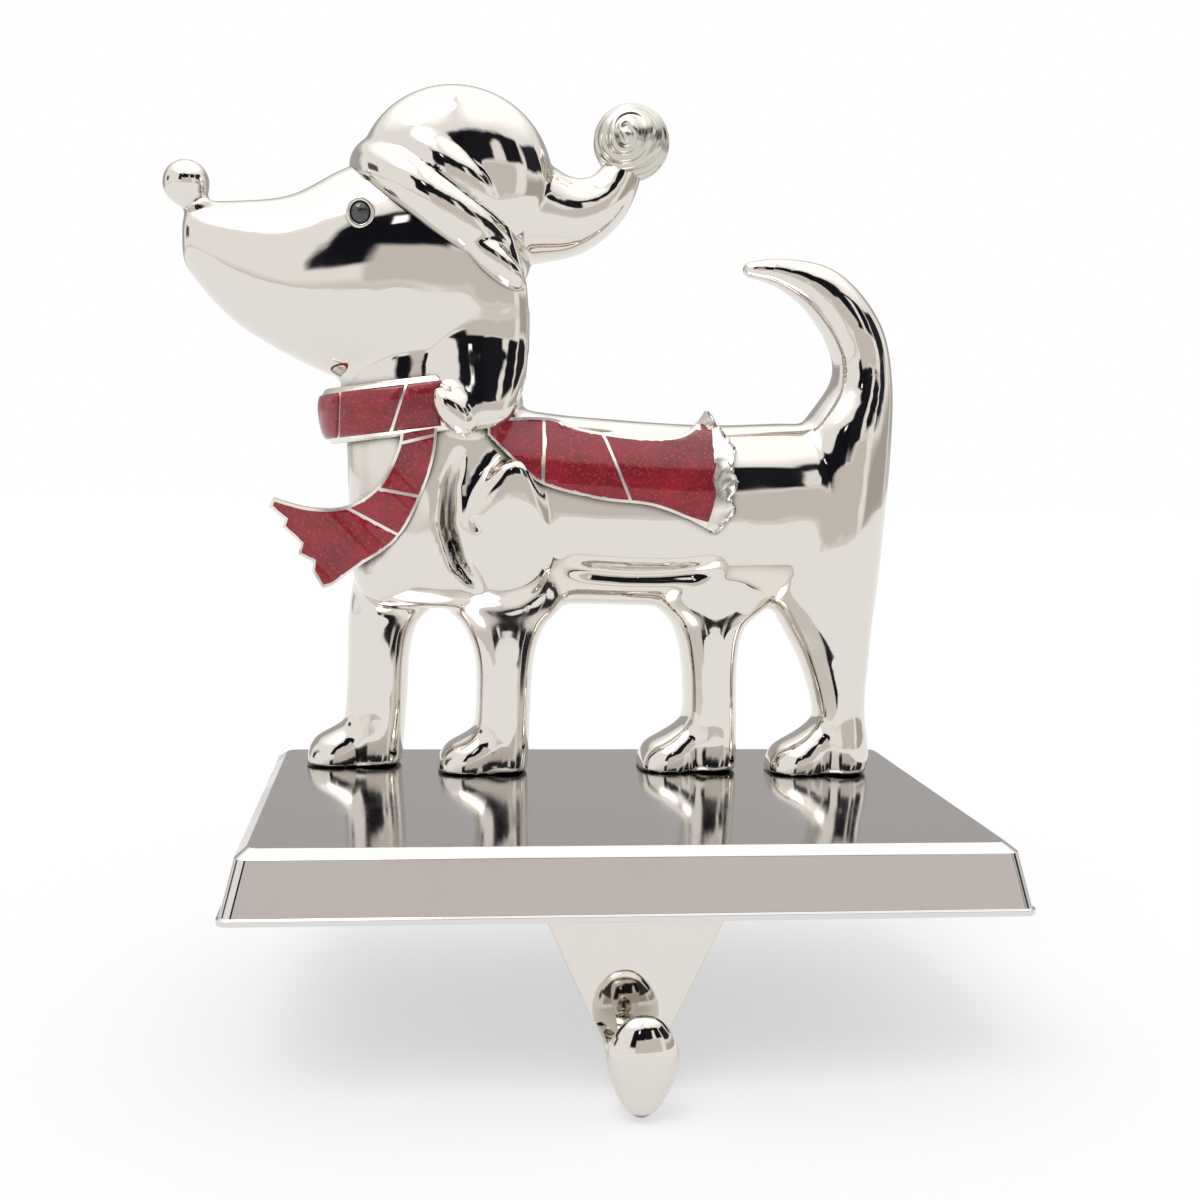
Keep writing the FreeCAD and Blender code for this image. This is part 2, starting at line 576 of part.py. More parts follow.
def main():
    os.makedirs("parts", exist_ok=True)
    fields = {"loop_enamel": loop_fields(), "front_end_enamel": front_fields(),
              "back_end_enamel": back_fields()}
    parts = {"dog_figurine": dog_figurine(list(fields.values())), "near_eye": eye_bead(-1),
             "far_eye": eye_bead(1), "base_shell": base_shell(), "base_pad": base_pad(),
             "ballast_weight": ballast_weight(), "hook_bracket": hook_bracket(),
             "dog_screws": dog_screws(), "bracket_screws": bracket_screws()}
    parts.update(fields)
    for name, shape in parts.items():
        shape.exportStep("parts/" + name + ".step")
        box = shape.BoundBox
        print(name, "solids", len(shape.Solids), "valid", shape.isValid(), "volume", round(shape.Volume),
              "size", round(box.XLength, 1), round(box.YLength, 1), round(box.ZLength, 1))


main()
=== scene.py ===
# %% [markdown]
# # Mantel stocking holder
# A polished cast dog in a winter hat and scarf stands on a hollow cast base. A tapered plate
# drops over the mantel's front edge and ends in a hook. The frame gives the sizes; this script
# dresses it. Lengths are in metres, and `mm` turns millimetres into them.

# %% Tools
import math
import random

import bmesh
import bpy
from mathutils import Matrix, Vector
from mathutils.bvhtree import BVHTree


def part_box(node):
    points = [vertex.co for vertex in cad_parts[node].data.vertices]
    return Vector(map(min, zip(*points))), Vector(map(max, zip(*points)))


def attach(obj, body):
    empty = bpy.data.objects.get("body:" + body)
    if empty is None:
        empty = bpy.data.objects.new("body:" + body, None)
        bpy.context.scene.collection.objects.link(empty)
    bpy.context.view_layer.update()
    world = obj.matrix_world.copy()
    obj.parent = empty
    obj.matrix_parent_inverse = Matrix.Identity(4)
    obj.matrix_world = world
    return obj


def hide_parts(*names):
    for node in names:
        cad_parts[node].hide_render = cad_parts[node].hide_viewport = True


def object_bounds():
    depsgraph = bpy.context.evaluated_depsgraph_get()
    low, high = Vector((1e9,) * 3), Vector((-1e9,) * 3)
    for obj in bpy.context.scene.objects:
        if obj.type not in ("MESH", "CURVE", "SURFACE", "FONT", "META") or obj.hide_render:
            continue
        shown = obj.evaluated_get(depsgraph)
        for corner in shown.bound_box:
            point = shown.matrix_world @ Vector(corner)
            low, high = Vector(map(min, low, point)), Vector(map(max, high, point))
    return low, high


mm = 0.001
X_AXIS, Y_AXIS, Z_AXIS = Vector((1, 0, 0)), Vector((0, 1, 0)), Vector((0, 0, 1))

# %% [markdown]
# The frame comes first, because the pieces take their places from its boxes.

# %% The frame
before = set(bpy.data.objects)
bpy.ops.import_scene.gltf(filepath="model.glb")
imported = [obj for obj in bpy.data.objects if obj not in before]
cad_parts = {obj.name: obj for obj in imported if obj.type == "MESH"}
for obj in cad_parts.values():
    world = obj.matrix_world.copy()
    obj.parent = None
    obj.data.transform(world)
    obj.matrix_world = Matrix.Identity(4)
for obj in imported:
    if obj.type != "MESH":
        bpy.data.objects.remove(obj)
cad_low, cad_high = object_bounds()
base_low, base_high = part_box("base_shell")
dog_low, dog_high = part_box("dog_figurine")
hook_low, hook_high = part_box("hook_bracket")
near_eye_low, near_eye_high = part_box("near_eye")
base_top = base_high.z / mm
eye_centre = (near_eye_low + near_eye_high) / 2
for label, low, high in (("whole", cad_low, cad_high), ("dog", dog_low, dog_high),
                         ("bracket", hook_low, hook_high)):
    print(label, "box in mm:", [round(v / mm, 1) for v in (*low, *high)])

# %% [markdown]
# The casting is worked out in the dog's own measures: x along the dog, heights above the base's
# top, and y from its middle plane. `place` turns those into the frame's metres. The middle plane
# lies halfway between the two eyes.

# %% Dog measures
far_eye_low, far_eye_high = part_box("far_eye")
dog_y = (near_eye_low.y + far_eye_high.y) / 2 / mm


def place(x, y, height):
    """A point of the dog, from its own measures in millimetres."""
    return Vector((x, dog_y + y, base_top + height)) * mm


print("middle plane at y", round(dog_y, 2), "mm, base top at", round(base_top, 2), "mm")

# %% [markdown]
# Limbs, trunk and head are round in section and change size along their length. Each is a circle
# that is extruded and carried from station to station, as the CAD lofts are. Between two stations
# the sizes follow a Catmull-Rom curve, so the skin has no flats.

# %% Smooth stations
def smoothed(stations, steps=6):
    """Stations with more in between, on a Catmull-Rom curve through the given ones."""
    rows = [Vector(row) for row in stations]
    out = []
    for i in range(len(rows) - 1):
        p0, p1 = rows[max(i - 1, 0)], rows[i]
        p2, p3 = rows[i + 1], rows[min(i + 2, len(rows) - 1)]
        for k in range(steps):
            t = k / steps
            out.append(0.5 * (2 * p1 + (p2 - p0) * t + (2 * p0 - 5 * p1 + 4 * p2 - p3) * t ** 2
                              + (3 * p1 - p0 - 3 * p2 + p3) * t ** 3))
    return out + [rows[-1]]


def with_round_end(rows, length):
    """Adds stations past the last one that close it like a fingertip. The rows' first two values
    are the place, then the two half sizes, the turn and y."""
    last = rows[-1]
    turn = math.radians(last[4])
    out_x, out_z = -math.sin(turn), math.cos(turn)
    before = rows[-2]
    if (last[0] - before[0]) * out_x + (last[1] - before[1]) * out_z < 0:
        out_x, out_z = -out_x, -out_z
    closing = []
    for degrees in (20, 40, 58, 74, 86):
        shrink, reach = math.cos(math.radians(degrees)), length * math.sin(math.radians(degrees))
        closing.append(Vector((last[0] + out_x * reach, last[1] + out_z * reach, last[2] * shrink,
                               last[3] * shrink, last[4], last[5])))
    return rows + closing


# %% [markdown]
# One station is a flat ellipse with a place and a turn, and extrusion carries a ring of edges from
# one to the next. This cell also has an egg shape, and turns plain measures into stations.

# %% Sweep a round section through stations
def section_matrix(row):
    """Where a unit circle goes for one station: x, height, half length, half width, turn, y."""
    x, height, half_length, half_width, turn, y = row
    along = Vector((math.cos(math.radians(turn)), 0, math.sin(math.radians(turn))))
    normal = along.cross(Y_AXIS)
    placed = Matrix((along * half_length, Y_AXIS * half_width, normal)).transposed().to_4x4()
    placed.translation = Vector((x, y, height))
    return placed


def carried(bm, ring, edges, places):
    """Carries a ring of edges from one place to the next by extrusion, and caps its end."""
    placed = Matrix.Identity(4)
    for index, target in enumerate(places):
        if index:
            grown = bmesh.ops.extrude_edge_only(bm, edges=edges)["geom"]
            ring = [item for item in grown if isinstance(item, bmesh.types.BMVert)]
            edges = [item for item in grown if isinstance(item, bmesh.types.BMEdge)]
        bmesh.ops.transform(bm, matrix=target @ placed.inverted(), verts=ring)
        placed = target
    bmesh.ops.edgeloop_fill(bm, edges=edges)


def sweep(bm, rows, fullness=1.0, segments=48):
    """Carries a closed circle through the stations. Fullness under 1 squares it."""
    ring = bmesh.ops.create_circle(bm, cap_ends=True, segments=segments, radius=1.0)["verts"]
    for vert in ring:
        for axis in (0, 1):
            vert.co[axis] = math.copysign(abs(vert.co[axis]) ** fullness, vert.co[axis])
    edges = list(dict.fromkeys(edge for vert in ring for edge in vert.link_edges))
    carried(bm, ring, edges, [section_matrix(row) for row in rows])


def ball(bm, x, height, half_x, half_y, half_z, y=0.0, turn=0.0, flatness=1.0, lean=0.0, point=0.0):
    """An egg shape, on the middle plane if y is 0. Flatness under 1 flattens its near and far faces,
    a lean above 0 makes the near one look down, and a point narrows the egg towards its top."""
    verts = bmesh.ops.create_uvsphere(bm, u_segments=48, v_segments=32, radius=1.0)["verts"]
    for vert in verts:
        vert.co.y = math.copysign(abs(vert.co.y) ** flatness, vert.co.y)
        vert.co.x *= 1 - point * (vert.co.z + 1) / 2
    stretch = Matrix.Diagonal((half_x, half_y, half_z, 1))
    spin = Matrix.Rotation(math.radians(lean), 4, "X") @ Matrix.Rotation(math.radians(-turn), 4, "Y")
    bmesh.ops.transform(bm, matrix=Matrix.Translation((x, y, height)) @ spin @ stretch, verts=verts)


def upright(stations, y=0.0):
    """Level sections as stations: height, front x, back x, half width."""
    return [((front + back) / 2, height, (back - front) / 2, wide, 0.0, y)
            for height, front, back, wide in stations]


def lengthwise(stations):
    """Upright sections as stations: x, upper edge, lower edge, half width."""
    return [(x, (top + low) / 2, (top - low) / 2, wide, 90.0, 0.0) for x, top, low, wide in stations]


# %% [markdown]
# A bmesh becomes an object here, and its modifiers are made real straight away, so that the next
# step can work on the result. Bevelled edges catch the light, and large flat faces are shaded
# flat, so that they reflect like a plane.

# %% Turn a bmesh in millimetres into a piece
dog_origin, frame_origin = place(0, 0, 0), Vector()


def to_object(bm, name, origin=dog_origin):
    """Makes the piece's object. Millimetres from the origin become the frame's metres here."""
    bmesh.ops.recalc_face_normals(bm, faces=bm.faces)
    bmesh.ops.transform(bm, matrix=Matrix.Translation(origin) @ Matrix.Scale(mm, 4), verts=bm.verts)
    mesh = bpy.data.meshes.new(name)
    bm.to_mesh(mesh)
    bm.free()
    piece = bpy.data.objects.new(name, mesh)
    bpy.context.scene.collection.objects.link(piece)
    return piece


def applied(piece):
    """The piece with its modifiers made real and its faces smooth."""
    graph = bpy.context.evaluated_depsgraph_get()
    mesh = bpy.data.meshes.new_from_object(piece.evaluated_get(graph))
    piece.modifiers.clear()
    piece.data = mesh
    mesh.polygons.foreach_set("use_smooth", [True] * len(mesh.polygons))
    return piece


def modified(piece, kind, **settings):
    """The piece after one more modifier, made real at once."""
    modifier = piece.modifiers.new(kind, kind)
    for label, value in settings.items():
        setattr(modifier, label, value)
    return applied(piece)


def edges_rounded(piece, width, sharpest):
    """Bevels the edges that turn by more than an angle in degrees. The width is in mm."""
    return modified(piece, "BEVEL", width=width * mm, segments=3, limit_method="ANGLE",
                    angle_limit=math.radians(sharpest))


def flat_where_large(piece, smallest):
    """Shades a piece's large faces flat, so that only its rounded edges blend. Area in mm2."""
    for face in piece.data.polygons:
        face.use_smooth = face.area < smallest * mm * mm
    return piece


def cleaned(piece, gap=0.004):
    """Joins points closer than the gap, in mm, and takes away the faces that are left without area."""
    piece.data.validate()
    bm = bmesh.new()
    bm.from_mesh(piece.data)
    bmesh.ops.remove_doubles(bm, verts=bm.verts, dist=gap * mm)
    bmesh.ops.dissolve_degenerate(bm, edges=bm.edges, dist=gap * mm)
    bm.to_mesh(piece.data)
    bm.free()
    return piece


def softened(piece, rounds):
    """Relaxes the skin a little, as a polishing wheel does."""
    return modified(piece, "SMOOTH", factor=0.5, iterations=rounds)


def cut_through(bm, at, across, dist=1e-6, **choice):
    """Cuts a mesh by the plane through a point, at right angles to a direction."""
    return bmesh.ops.bisect_plane(bm, geom=bm.verts[:] + bm.edges[:] + bm.faces[:], dist=dist,
                                  plane_co=at, plane_no=across, **choice)["geom_cut"]


def cast(piece, voxel, smoothing):
    """Melts overlapping shells into one skin, as in a casting, and softens where they meet."""
    softened(modified(piece, "REMESH", mode="VOXEL", voxel_size=voxel * mm), smoothing)
    print(piece.name, "has", len(piece.data.polygons), "faces")
    return piece


# %% [markdown]
# The stations follow the casting in the frame. Trunk and head have upright sections, chest and
# legs have level ones. The near hind leg, rump and tail are one form, so one sweep carries them
# from the sole up to the tip of the tail.

# %% Body stations
TRUNK = [
    (-38, 62, 31, 10.4), (-22, 66.6, 30.8, 11.6), (-4, 65.6, 30.9, 11.4), (18, 64.7, 30.7, 11),
    (36, 65.4, 31, 10.6), (46, 64, 33, 9)]
HEAD = [
    (-75.6, 99, 91, 3.2), (-73.6, 101.4, 88, 5.2), (-67, 101.9, 81, 7.9), (-57, 103.3, 75, 10.4),
    (-47, 108.6, 71, 12.1), (-36, 112, 70, 12.9), (-25, 110, 71.6, 12.6), (-18, 101, 77, 9.6)]
CHEST = [
    (30.6, -42, -14, 8.6), (33, -44.6, -10.6, 10.6), (38, -46, -8, 11.7), (48, -46.6, -7, 12),
    (60, -47, -12.2, 11), (72, -48, -17, 10.4), (79, -45, -19, 9.6)]
FAR_FORELEG = [
    (0, -47.6, -36.4, 6.2), (4, -47.6, -36.2, 6.4), (12, -47, -35.6, 5.9), (21, -46.8, -35.2, 6.1),
    (27, -46.8, -33.6, 6.8), (31, -46.4, -29.6, 7.4), (38, -45.4, -24, 7.6)]
NEAR_FORELEG = [
    (0, -23.8, -13.2, 6.2), (4, -23.6, -13, 6.4), (12, -23, -12.8, 6), (21, -23.3, -12.4, 6.4),
    (27, -25.6, -10.6, 7.2), (31, -29.4, -7.2, 8), (38, -32, -5, 8.4)]
FAR_HINDLEG = [
    (0, 15.9, 26.6, 6.8), (4, 15.8, 26.6, 7.1), (12, 16.3, 26.3, 6.6), (21, 15.6, 26.2, 6.9),
    (27, 13.8, 27.4, 7.6), (31, 10.4, 31.6, 8.4), (38, 6, 36, 8.6)]
HIND = [
    (46.1, 0, 5.1, 6.4, 0, -3.2), (46.2, 4, 5.3, 6.6, 0, -3.2), (45.6, 12, 4.9, 6, 0, -3.1),
    (44.4, 21, 6.6, 6.8, 0, -2.6), (42.7, 28.4, 8.9, 8.4, 0, -1.8), (41.8, 35, 10.8, 9.8, 0, -0.6),
    (42.5, 48, 11.1, 10.6, 0, 0), (45.3, 63, 9, 8.8, 0, 0), (48.4, 74, 5.6, 6.2, 4, 0),
    (46.4, 82.6, 5.3, 5.4, 24, 0), (40, 90, 4.6, 4.4, 56, 0), (32, 93, 2.7, 3, 80, 0),
    (26.2, 93.4, 1.6, 1.8, 90, 0)]
far_foreleg_y, near_foreleg_y, far_hindleg_y, near_hindleg_y = 4.9, -1.8, 0.1, -3.2

# %% [markdown]
# A paw and an ear are short sweeps too. A paw's sections stand upright from toe to ankle and
# reach a little below the sole, because the sole is cut flat afterwards.

# %% Paws and ears
# A paw: the x of its toe, y and half width.
PAWS = [
    (-54.6, far_foreleg_y, 6.4), (-30.3, near_foreleg_y, 6.6), (7.4, far_hindleg_y, 7.2),
    (31.6, near_hindleg_y, 6.6)]
sole_allowance = 2.0
# A paw's section: distance from the toe, height, and share of the half width.
PAW_ROWS = [(0.5, 2.6, 0.50), (2, 4.9, 0.80), (4.8, 6.4, 1), (8, 8.6, 0.97), (10.4, 11.6, 0.80)]
# An ear: height, front x, back x, half thickness, and how far out its face lies.
EAR = [
    (62.8, -25.6, -20.8, 1.3, 13.2), (64, -27.8, -18.6, 2.3, 14.4), (66, -29.8, -17, 2.9, 15),
    (70, -31.4, -15.6, 3.4, 14.2), (74, -32.1, -14.8, 3.4, 13.1), (78.5, -32.3, -14.6, 3.3, 11.9),
    (82, -32.2, -14.6, 3.2, 11.8), (86, -32, -14.9, 3.2, 12.2), (91, -31.2, -15.8, 3, 11.9),
    (97, -30.4, -17.6, 2.9, 11.8), (105, -29, -21, 2.6, 12.4)]


def paw_rows(toe, y, half_width):
    """A paw from toe to ankle, as upright sections that reach down to the sole."""
    return [(toe + along, height / 2 - sole_allowance, height / 2 + sole_allowance, half_width * wide,
             90.0, y) for along, height, wide in PAW_ROWS]


# %% [markdown]
# The whole body is one casting. The sweeps overlap freely first. A voxel remesh then makes one
# skin of them, and a light smoothing gives the soft inner corners of a polished casting.

# %% Dog's body
# Each ball has an x, a height and three half sizes.
SHOULDER = (-18.6, 45.4, 11.6, 7, 13.2)
SCARF_FOLD = (-28.2, 65.6, 5.4, 2.6, 2.7)
NOSE = (-75.2, 104.7, 4.2, 4.2, 4.2)
body = bmesh.new()
sweep(body, with_round_end(smoothed(lengthwise(TRUNK)), 3.0), 0.92)
sweep(body, smoothed(upright(CHEST)), 0.9)
sweep(body, smoothed(lengthwise(HEAD)), 0.93)
for stations, y in ((FAR_FORELEG, far_foreleg_y), (NEAR_FORELEG, near_foreleg_y),
                    (FAR_HINDLEG, far_hindleg_y)):
    sweep(body, smoothed(upright(stations, y)), 0.8)
sweep(body, with_round_end(smoothed(HIND), 1.6), 0.92)
for toe, y, half_width in PAWS:
    sweep(body, smoothed(paw_rows(toe, y, half_width), 4), 0.85)
for side in (-1, 1):
    ear_rows = [((front + back) / 2, height, (back - front) / 2, thick, 0.0, side * (out - thick))
                for height, front, back, thick, out in EAR]
    sweep(body, smoothed(ear_rows))
    ball(body, *SHOULDER, y=side * 6.1, turn=-8, flatness=0.16, lean=-5 * side, point=0.55)
    ball(body, *SCARF_FOLD, y=side * 13.8, turn=-52)
ball(body, *NOSE)
dog_body = cast(to_object(body, "dog_body"), voxel=0.7, smoothing=6)

# %% [markdown]
# The paws stand on the base, so everything below its top is cut off. The bisect leaves holes
# where the legs end, and filling them gives flat soles.

# %% Flat soles
soles = bmesh.new()
soles.from_mesh(dog_body.data)
cut = cut_through(soles, dog_origin, Z_AXIS, dist=1e-7, clear_inner=True)
bmesh.ops.holes_fill(soles, edges=[item for item in cut if isinstance(item, bmesh.types.BMEdge)],
                     sides=0)
soles.to_mesh(dog_body.data)
soles.free()
print("soles cut through", len(cut), "edges and points")

# %% [markdown]
# Round the shoulder, along the belly and on the toes, the founder's pattern has cut lines.
# Here every point of the near skin that lies close to a path, seen from the side, moves away from
# the room by a depth that fades with its distance.

# %% Carve a line into the skin
def carve(piece, path, width, depth, taper=0.0):
    """Presses a groove along a path of x and height into the near side of a piece. The taper is the
    share of the path over which the depth grows from each end."""
    spots = [place(x, 0, height) for x, height in path]
    reach = width * mm
    for vert in piece.data.vertices:
        facing = -vert.normal.y
        if facing < 0.15:
            continue
        flat = Vector((vert.co.x, 0, vert.co.z))
        best, share = reach, 0.0
        for index, (a, b) in enumerate(zip(spots, spots[1:])):
            a, b = Vector((a.x, 0, a.z)), Vector((b.x, 0, b.z))
            along = min(max((flat - a).dot(b - a) / (b - a).length_squared, 0), 1)
            apart = (flat - a.lerp(b, along)).length
            if apart < best:
                best, share = apart, (index + along) / (len(spots) - 1)
        if best < reach:
            fade = 0.5 + 0.5 * math.cos(math.pi * best / reach)
            ends = min(share / taper, (1 - share) / taper, 1) if taper else 1
            vert.co.y += depth * mm * fade * ends * min(facing * 1.6, 1)
    piece.data.update()


SHOULDER_LINE = [(-26.4, 59.6), (-28.6, 53), (-29, 46), (-26.8, 39), (-22.4, 33.6)]
BELLY_LINE = [(-8, 38.8), (-3, 37.9), (4, 37.4), (10, 37.5), (16, 38), (22, 39.4)]
FLANK_LINE = [(-8.6, 43.4), (0, 43.8), (8, 43.2), (16, 41.4), (26, 42.6)]
DIMPLE = [(-24.2, 46.8), (-23.7, 45.7)]
carve(dog_body, BELLY_LINE, width=2.6, depth=2.0, taper=0.2)
carve(dog_body, FLANK_LINE, width=3.0, depth=0.3, taper=0.3)
for toe, y, half_width in PAWS:
    carve(dog_body, [(toe + 1.6, 4.6), (toe + 3.6, 0.6)], width=0.9, depth=0.35)
softened(dog_body, rounds=8)
carve(dog_body, SHOULDER_LINE, width=1.7, depth=4.2, taper=0.4)
softened(dog_body, rounds=2)
carve(dog_body, DIMPLE, width=0.9, depth=0.5)

# %% [markdown]
# The hat has a rolled brim and a second fold above it. Each roll is a stack of tilted rings whose
# size swells and shrinks like the side of a doughnut.

# %% Rolled bands
def ring_row(x, height, turn, rise, half_length, half_width):
    """The station of a tilted ring that lies above a middle point by a rise along its own axis."""
    tilt = math.radians(turn)
    return Vector((x - math.sin(tilt) * rise, height + math.cos(tilt) * rise, half_length, half_width,
                   turn, 0))


def roll_rows(x, height, turn, half_length, half_width, roll, flatness=1.0):
    """Stations of a tilted disc with a round rim."""
    rows = []
    for degrees in range(-90, 91, 15):
        rise = roll * flatness * math.sin(math.radians(degrees))
        swell = roll * math.cos(math.radians(degrees))
        rows.append(ring_row(x, height, turn, rise, half_length + swell, half_width + swell))
    return rows


# %% [markdown]
# The hat is cast with the dog, but from a finer voxel, so its cloth folds stay crisp. A crown, two
# rolls, the brim's curled ends and the tail that swings back and up to the pompom make one skin.

# %% Hat
CROWN = (-28, 106.6, 17.4, 13.1, 16.6)
BRIM_END = [
    (-27.4, 97, 1.8, 2, -128, 11.6), (-22.6, 93, 2.7, 2.6, -130, 11.8),
    (-18.4, 89.4, 2.4, 2.2, -134, 11.4), (-16.4, 87.2, 1, 1, -138, 10.6)]
HAT_TAIL = [
    (-26, 103.5, 11, 11.4, 90, 0), (-19, 103, 10.8, 10.2, 90, 0), (-12.4, 102.4, 9.2, 8.2, 92, 0),
    (-6.4, 102, 7, 6.2, 102, 0), (-1.2, 104.6, 5, 4.9, 126, 0), (1.6, 108.6, 3.9, 4, 146, 0),
    (3, 113, 3.2, 3.3, 165, 0)]
hat = bmesh.new()
ball(hat, *CROWN, flatness=0.6)
brim = roll_rows(-30.6, 100.8, -36, half_length=15.6, half_width=12.4, roll=3.3, flatness=1.3)
fold = roll_rows(-28.4, 106.4, -38, half_length=14.2, half_width=12.2, roll=2.1, flatness=1.7)
for rows in (brim, fold):
    sweep(hat, rows, fullness=0.97, segments=64)
for side in (-1, 1):
    sweep(hat, smoothed([(*row, side * y) for *row, y in BRIM_END]))
sweep(hat, smoothed(HAT_TAIL))
winter_hat = cast(to_object(hat, "winter_hat"), voxel=0.45, smoothing=9)

# %% [markdown]
# The pompom is a ball of wound yarn. A cosine of the angle from one point of the ball, twisted by
# the way round that point, gives a spiral of strands with grooves between them.

# %% Pompom, with its yarn wound round it
pompom_x, pompom_height, pompom_radius = 3.7, 115.2, 6.9
strands, groove = 19, 0.06
pompom_mesh = bmesh.new()
bmesh.ops.create_uvsphere(pompom_mesh, u_segments=160, v_segments=110, radius=1.0)
look = Vector((-0.25, -0.93, 0.12)).normalized()
for vert in pompom_mesh.verts:
    out = vert.co.normalized()
    from_centre = out.angle(look)
    beside = out - look * out.dot(look)
    around = math.atan2(beside.z, beside.x) if beside.length > 1e-5 else 0.0
    strand = math.cos(strands * from_centre + around + 1.6 * math.sin(2 * around + 4 * from_centre))
    vert.co = out * (1 - groove * (0.5 - strand / 2) ** 1.6) * pompom_radius
bmesh.ops.translate(pompom_mesh, vec=Vector((pompom_x, 0, pompom_height)), verts=pompom_mesh.verts)
pompom = applied(to_object(pompom_mesh, "pompom"))
print("pompom:", strands, "strands round it, grooves", round(groove * pompom_radius, 2), "mm deep")

# %% [markdown]
# The scarf is part of the casting too. Its metal comes before the enamel: the turn round the neck,
# the end that hangs forward from it, and the end that lies along the flank.

# %% Turn of the scarf round the neck
loop_x, loop_height, loop_turn = -33.5, 66.7, 8.0
loop_half_length, loop_half_width, loop_half_height = 18.6, 13.4, 4.9


def loop_rows(height_share=1.0, inset=0.0):
    """Stations of the band. Its edges roll in."""
    rows = []
    for step in range(-8, 9):
        share = step / 8 * height_share
        sink = 1.5 * abs(share) ** 3.2 + inset
        rows.append(ring_row(loop_x, loop_height, loop_turn, loop_half_height * share,
                             loop_half_length - sink, loop_half_width - sink))
    return rows


loop_mesh = bmesh.new()
sweep(loop_mesh, loop_rows(inset=0.25), 0.97, 96)
scarf_turn = applied(to_object(loop_mesh, "scarf_turn"))

# %% [markdown]
# Each loose end of the scarf starts as a flat outline, like a piece of cloth on a table. Cuts
# turn it into a grid, so that it can bend, and then it is pushed onto the body and thickened.

# %% Flat outlines that take the body's shape
def smooth_line(points, steps=6):
    return [tuple(row) for row in smoothed(points, steps)]


def outline_sheet(outline, spacing=1.0):
    """A flat sheet of the outline in x and height, cut into a grid so that it can bend."""
    bm = bmesh.new()
    corners = [bm.verts.new((x, 0, height)) for x, height in outline]
    bm.faces.new(corners)
    for axis, values in zip((X_AXIS, Z_AXIS), zip(*outline)):
        line = math.floor(min(values)) + spacing / 2
        while line < max(values):
            cut_through(bm, axis * line, axis)
            line += spacing
    return bm


def drop_band(bm, start, end, width):
    """Takes a straight band out of a sheet, between two points in x and height."""
    a, b = Vector((start[0], 0, start[1])), Vector((end[0], 0, end[1]))
    across = (b - a).cross(Y_AXIS).normalized()
    for shift in (-width / 2, width / 2):
        cut_through(bm, a + across * shift, across)
    gone = [face for face in bm.faces if abs((face.calc_center_median() - a).dot(across)) < width / 2]
    bmesh.ops.delete(bm, geom=gone, context="FACES")


closest_points = 0.2        # points of a sheet nearer than this are one, or a bevel has no room


def bent_plate(bm, name, near_y, thickness, edge):
    """Bends a sheet to near_y(x, height), gives it thickness away from the room and rounds it."""
    bmesh.ops.remove_doubles(bm, verts=bm.verts, dist=closest_points)
    for vert in bm.verts:
        vert.co.y = near_y(vert.co.x, vert.co.z)
    bmesh.ops.recalc_face_normals(bm, faces=bm.faces)
    if sum(face.normal.y * face.calc_area() for face in bm.faces) > 0:
        bmesh.ops.reverse_faces(bm, faces=bm.faces)
    grown = bmesh.ops.extrude_face_region(bm, geom=bm.faces[:], use_keep_orig=True)["geom"]
    moved = [item for item in grown if isinstance(item, bmesh.types.BMVert)]
    bmesh.ops.translate(bm, vec=Vector((0, thickness, 0)), verts=moved)
    return edges_rounded(to_object(bm, name), edge, 50)


# %% [markdown]
# The end in front hangs free below the chin. Its outer and inner edges are smooth curves, and the
# fringe between them keeps its straight cuts. Ribs of metal cross it between the enamel fields.

# %% Forward end of the scarf
FRONT_OUTER = [(-37, 64.5), (-37.6, 59.3), (-40.9, 52.6), (-46.4, 48.8), (-53, 48.3), (-59.6, 49.8)]
FRONT_FRINGE = [
    (-60.2, 48.2), (-57.4, 46.1), (-57.8, 44.8), (-54.6, 41.9), (-55, 40), (-52.4, 38.8), (-52.5, 37),
    (-50.6, 34)]
FRONT_INNER = [(-48.7, 34.8), (-44, 38.4), (-37.6, 43.2), (-33.2, 51.6), (-31.2, 58.6), (-30.8, 64.5)]
FRONT_RIBS = [((-39.4, 59.4), (-29, 62.2)), ((-43.6, 52.4), (-29, 50)), ((-48.4, 49.4), (-34, 42.2))]
rib_width = 0.55


def front_near_y(x, height):
    """The end swings away from the room towards its tip, and ripples a little."""
    ripple = 0.35 * math.sin(0.42 * (x + height))
    return -12.0 - (x + 33.0) * math.tan(math.radians(11.0)) + ripple


front_outline = smooth_line(FRONT_OUTER) + FRONT_FRINGE + smooth_line(FRONT_INNER)
scarf_front = bent_plate(outline_sheet(front_outline), "scarf_front_end", front_near_y,
                         thickness=3.8, edge=0.35)

# %% [markdown]
# The end on the flank follows the round of the trunk. A ray from the room finds the trunk at each
# point of the sheet, and the sheet stands off it by the scarf's thickness.

# %% Flank end of the scarf
flank = bmesh.new()
sweep(flank, smoothed(lengthwise(TRUNK)), 0.92)
sweep(flank, smoothed(upright(CHEST)), 0.9)
flank_tree = BVHTree.FromBMesh(flank)
flank.free()
back_top_height = 64.2
BACK_UPPER = [(-22, 64.8), (-11, 65.2), (-5, 63.4), (4, 62.2), (12, 62.4), (16.4, 64.6), (18.4, 67.2)]
BACK_FRINGE = [
    (20.2, 64.6), (21.6, 62.4), (22.8, 60.2), (21.8, 57), (23, 54.6), (21.6, 51.8), (22.4, 49.2),
    (19.2, 45.2)]
BACK_LOWER = [(14.4, 47.6), (7.3, 50), (-1.8, 50.9), (-11.7, 53.2), (-16, 56.2), (-22, 61.8)]
BACK_RIBS = [((-11.7, 68), (-12.3, 50)), ((-2.6, 66), (4.6, 48))]
scarf_thickness = 1.7


def flank_near_y(x, height):
    hit = flank_tree.ray_cast(Vector((x, -60, min(height, back_top_height))), Y_AXIS)[0]
    return hit.y - scarf_thickness


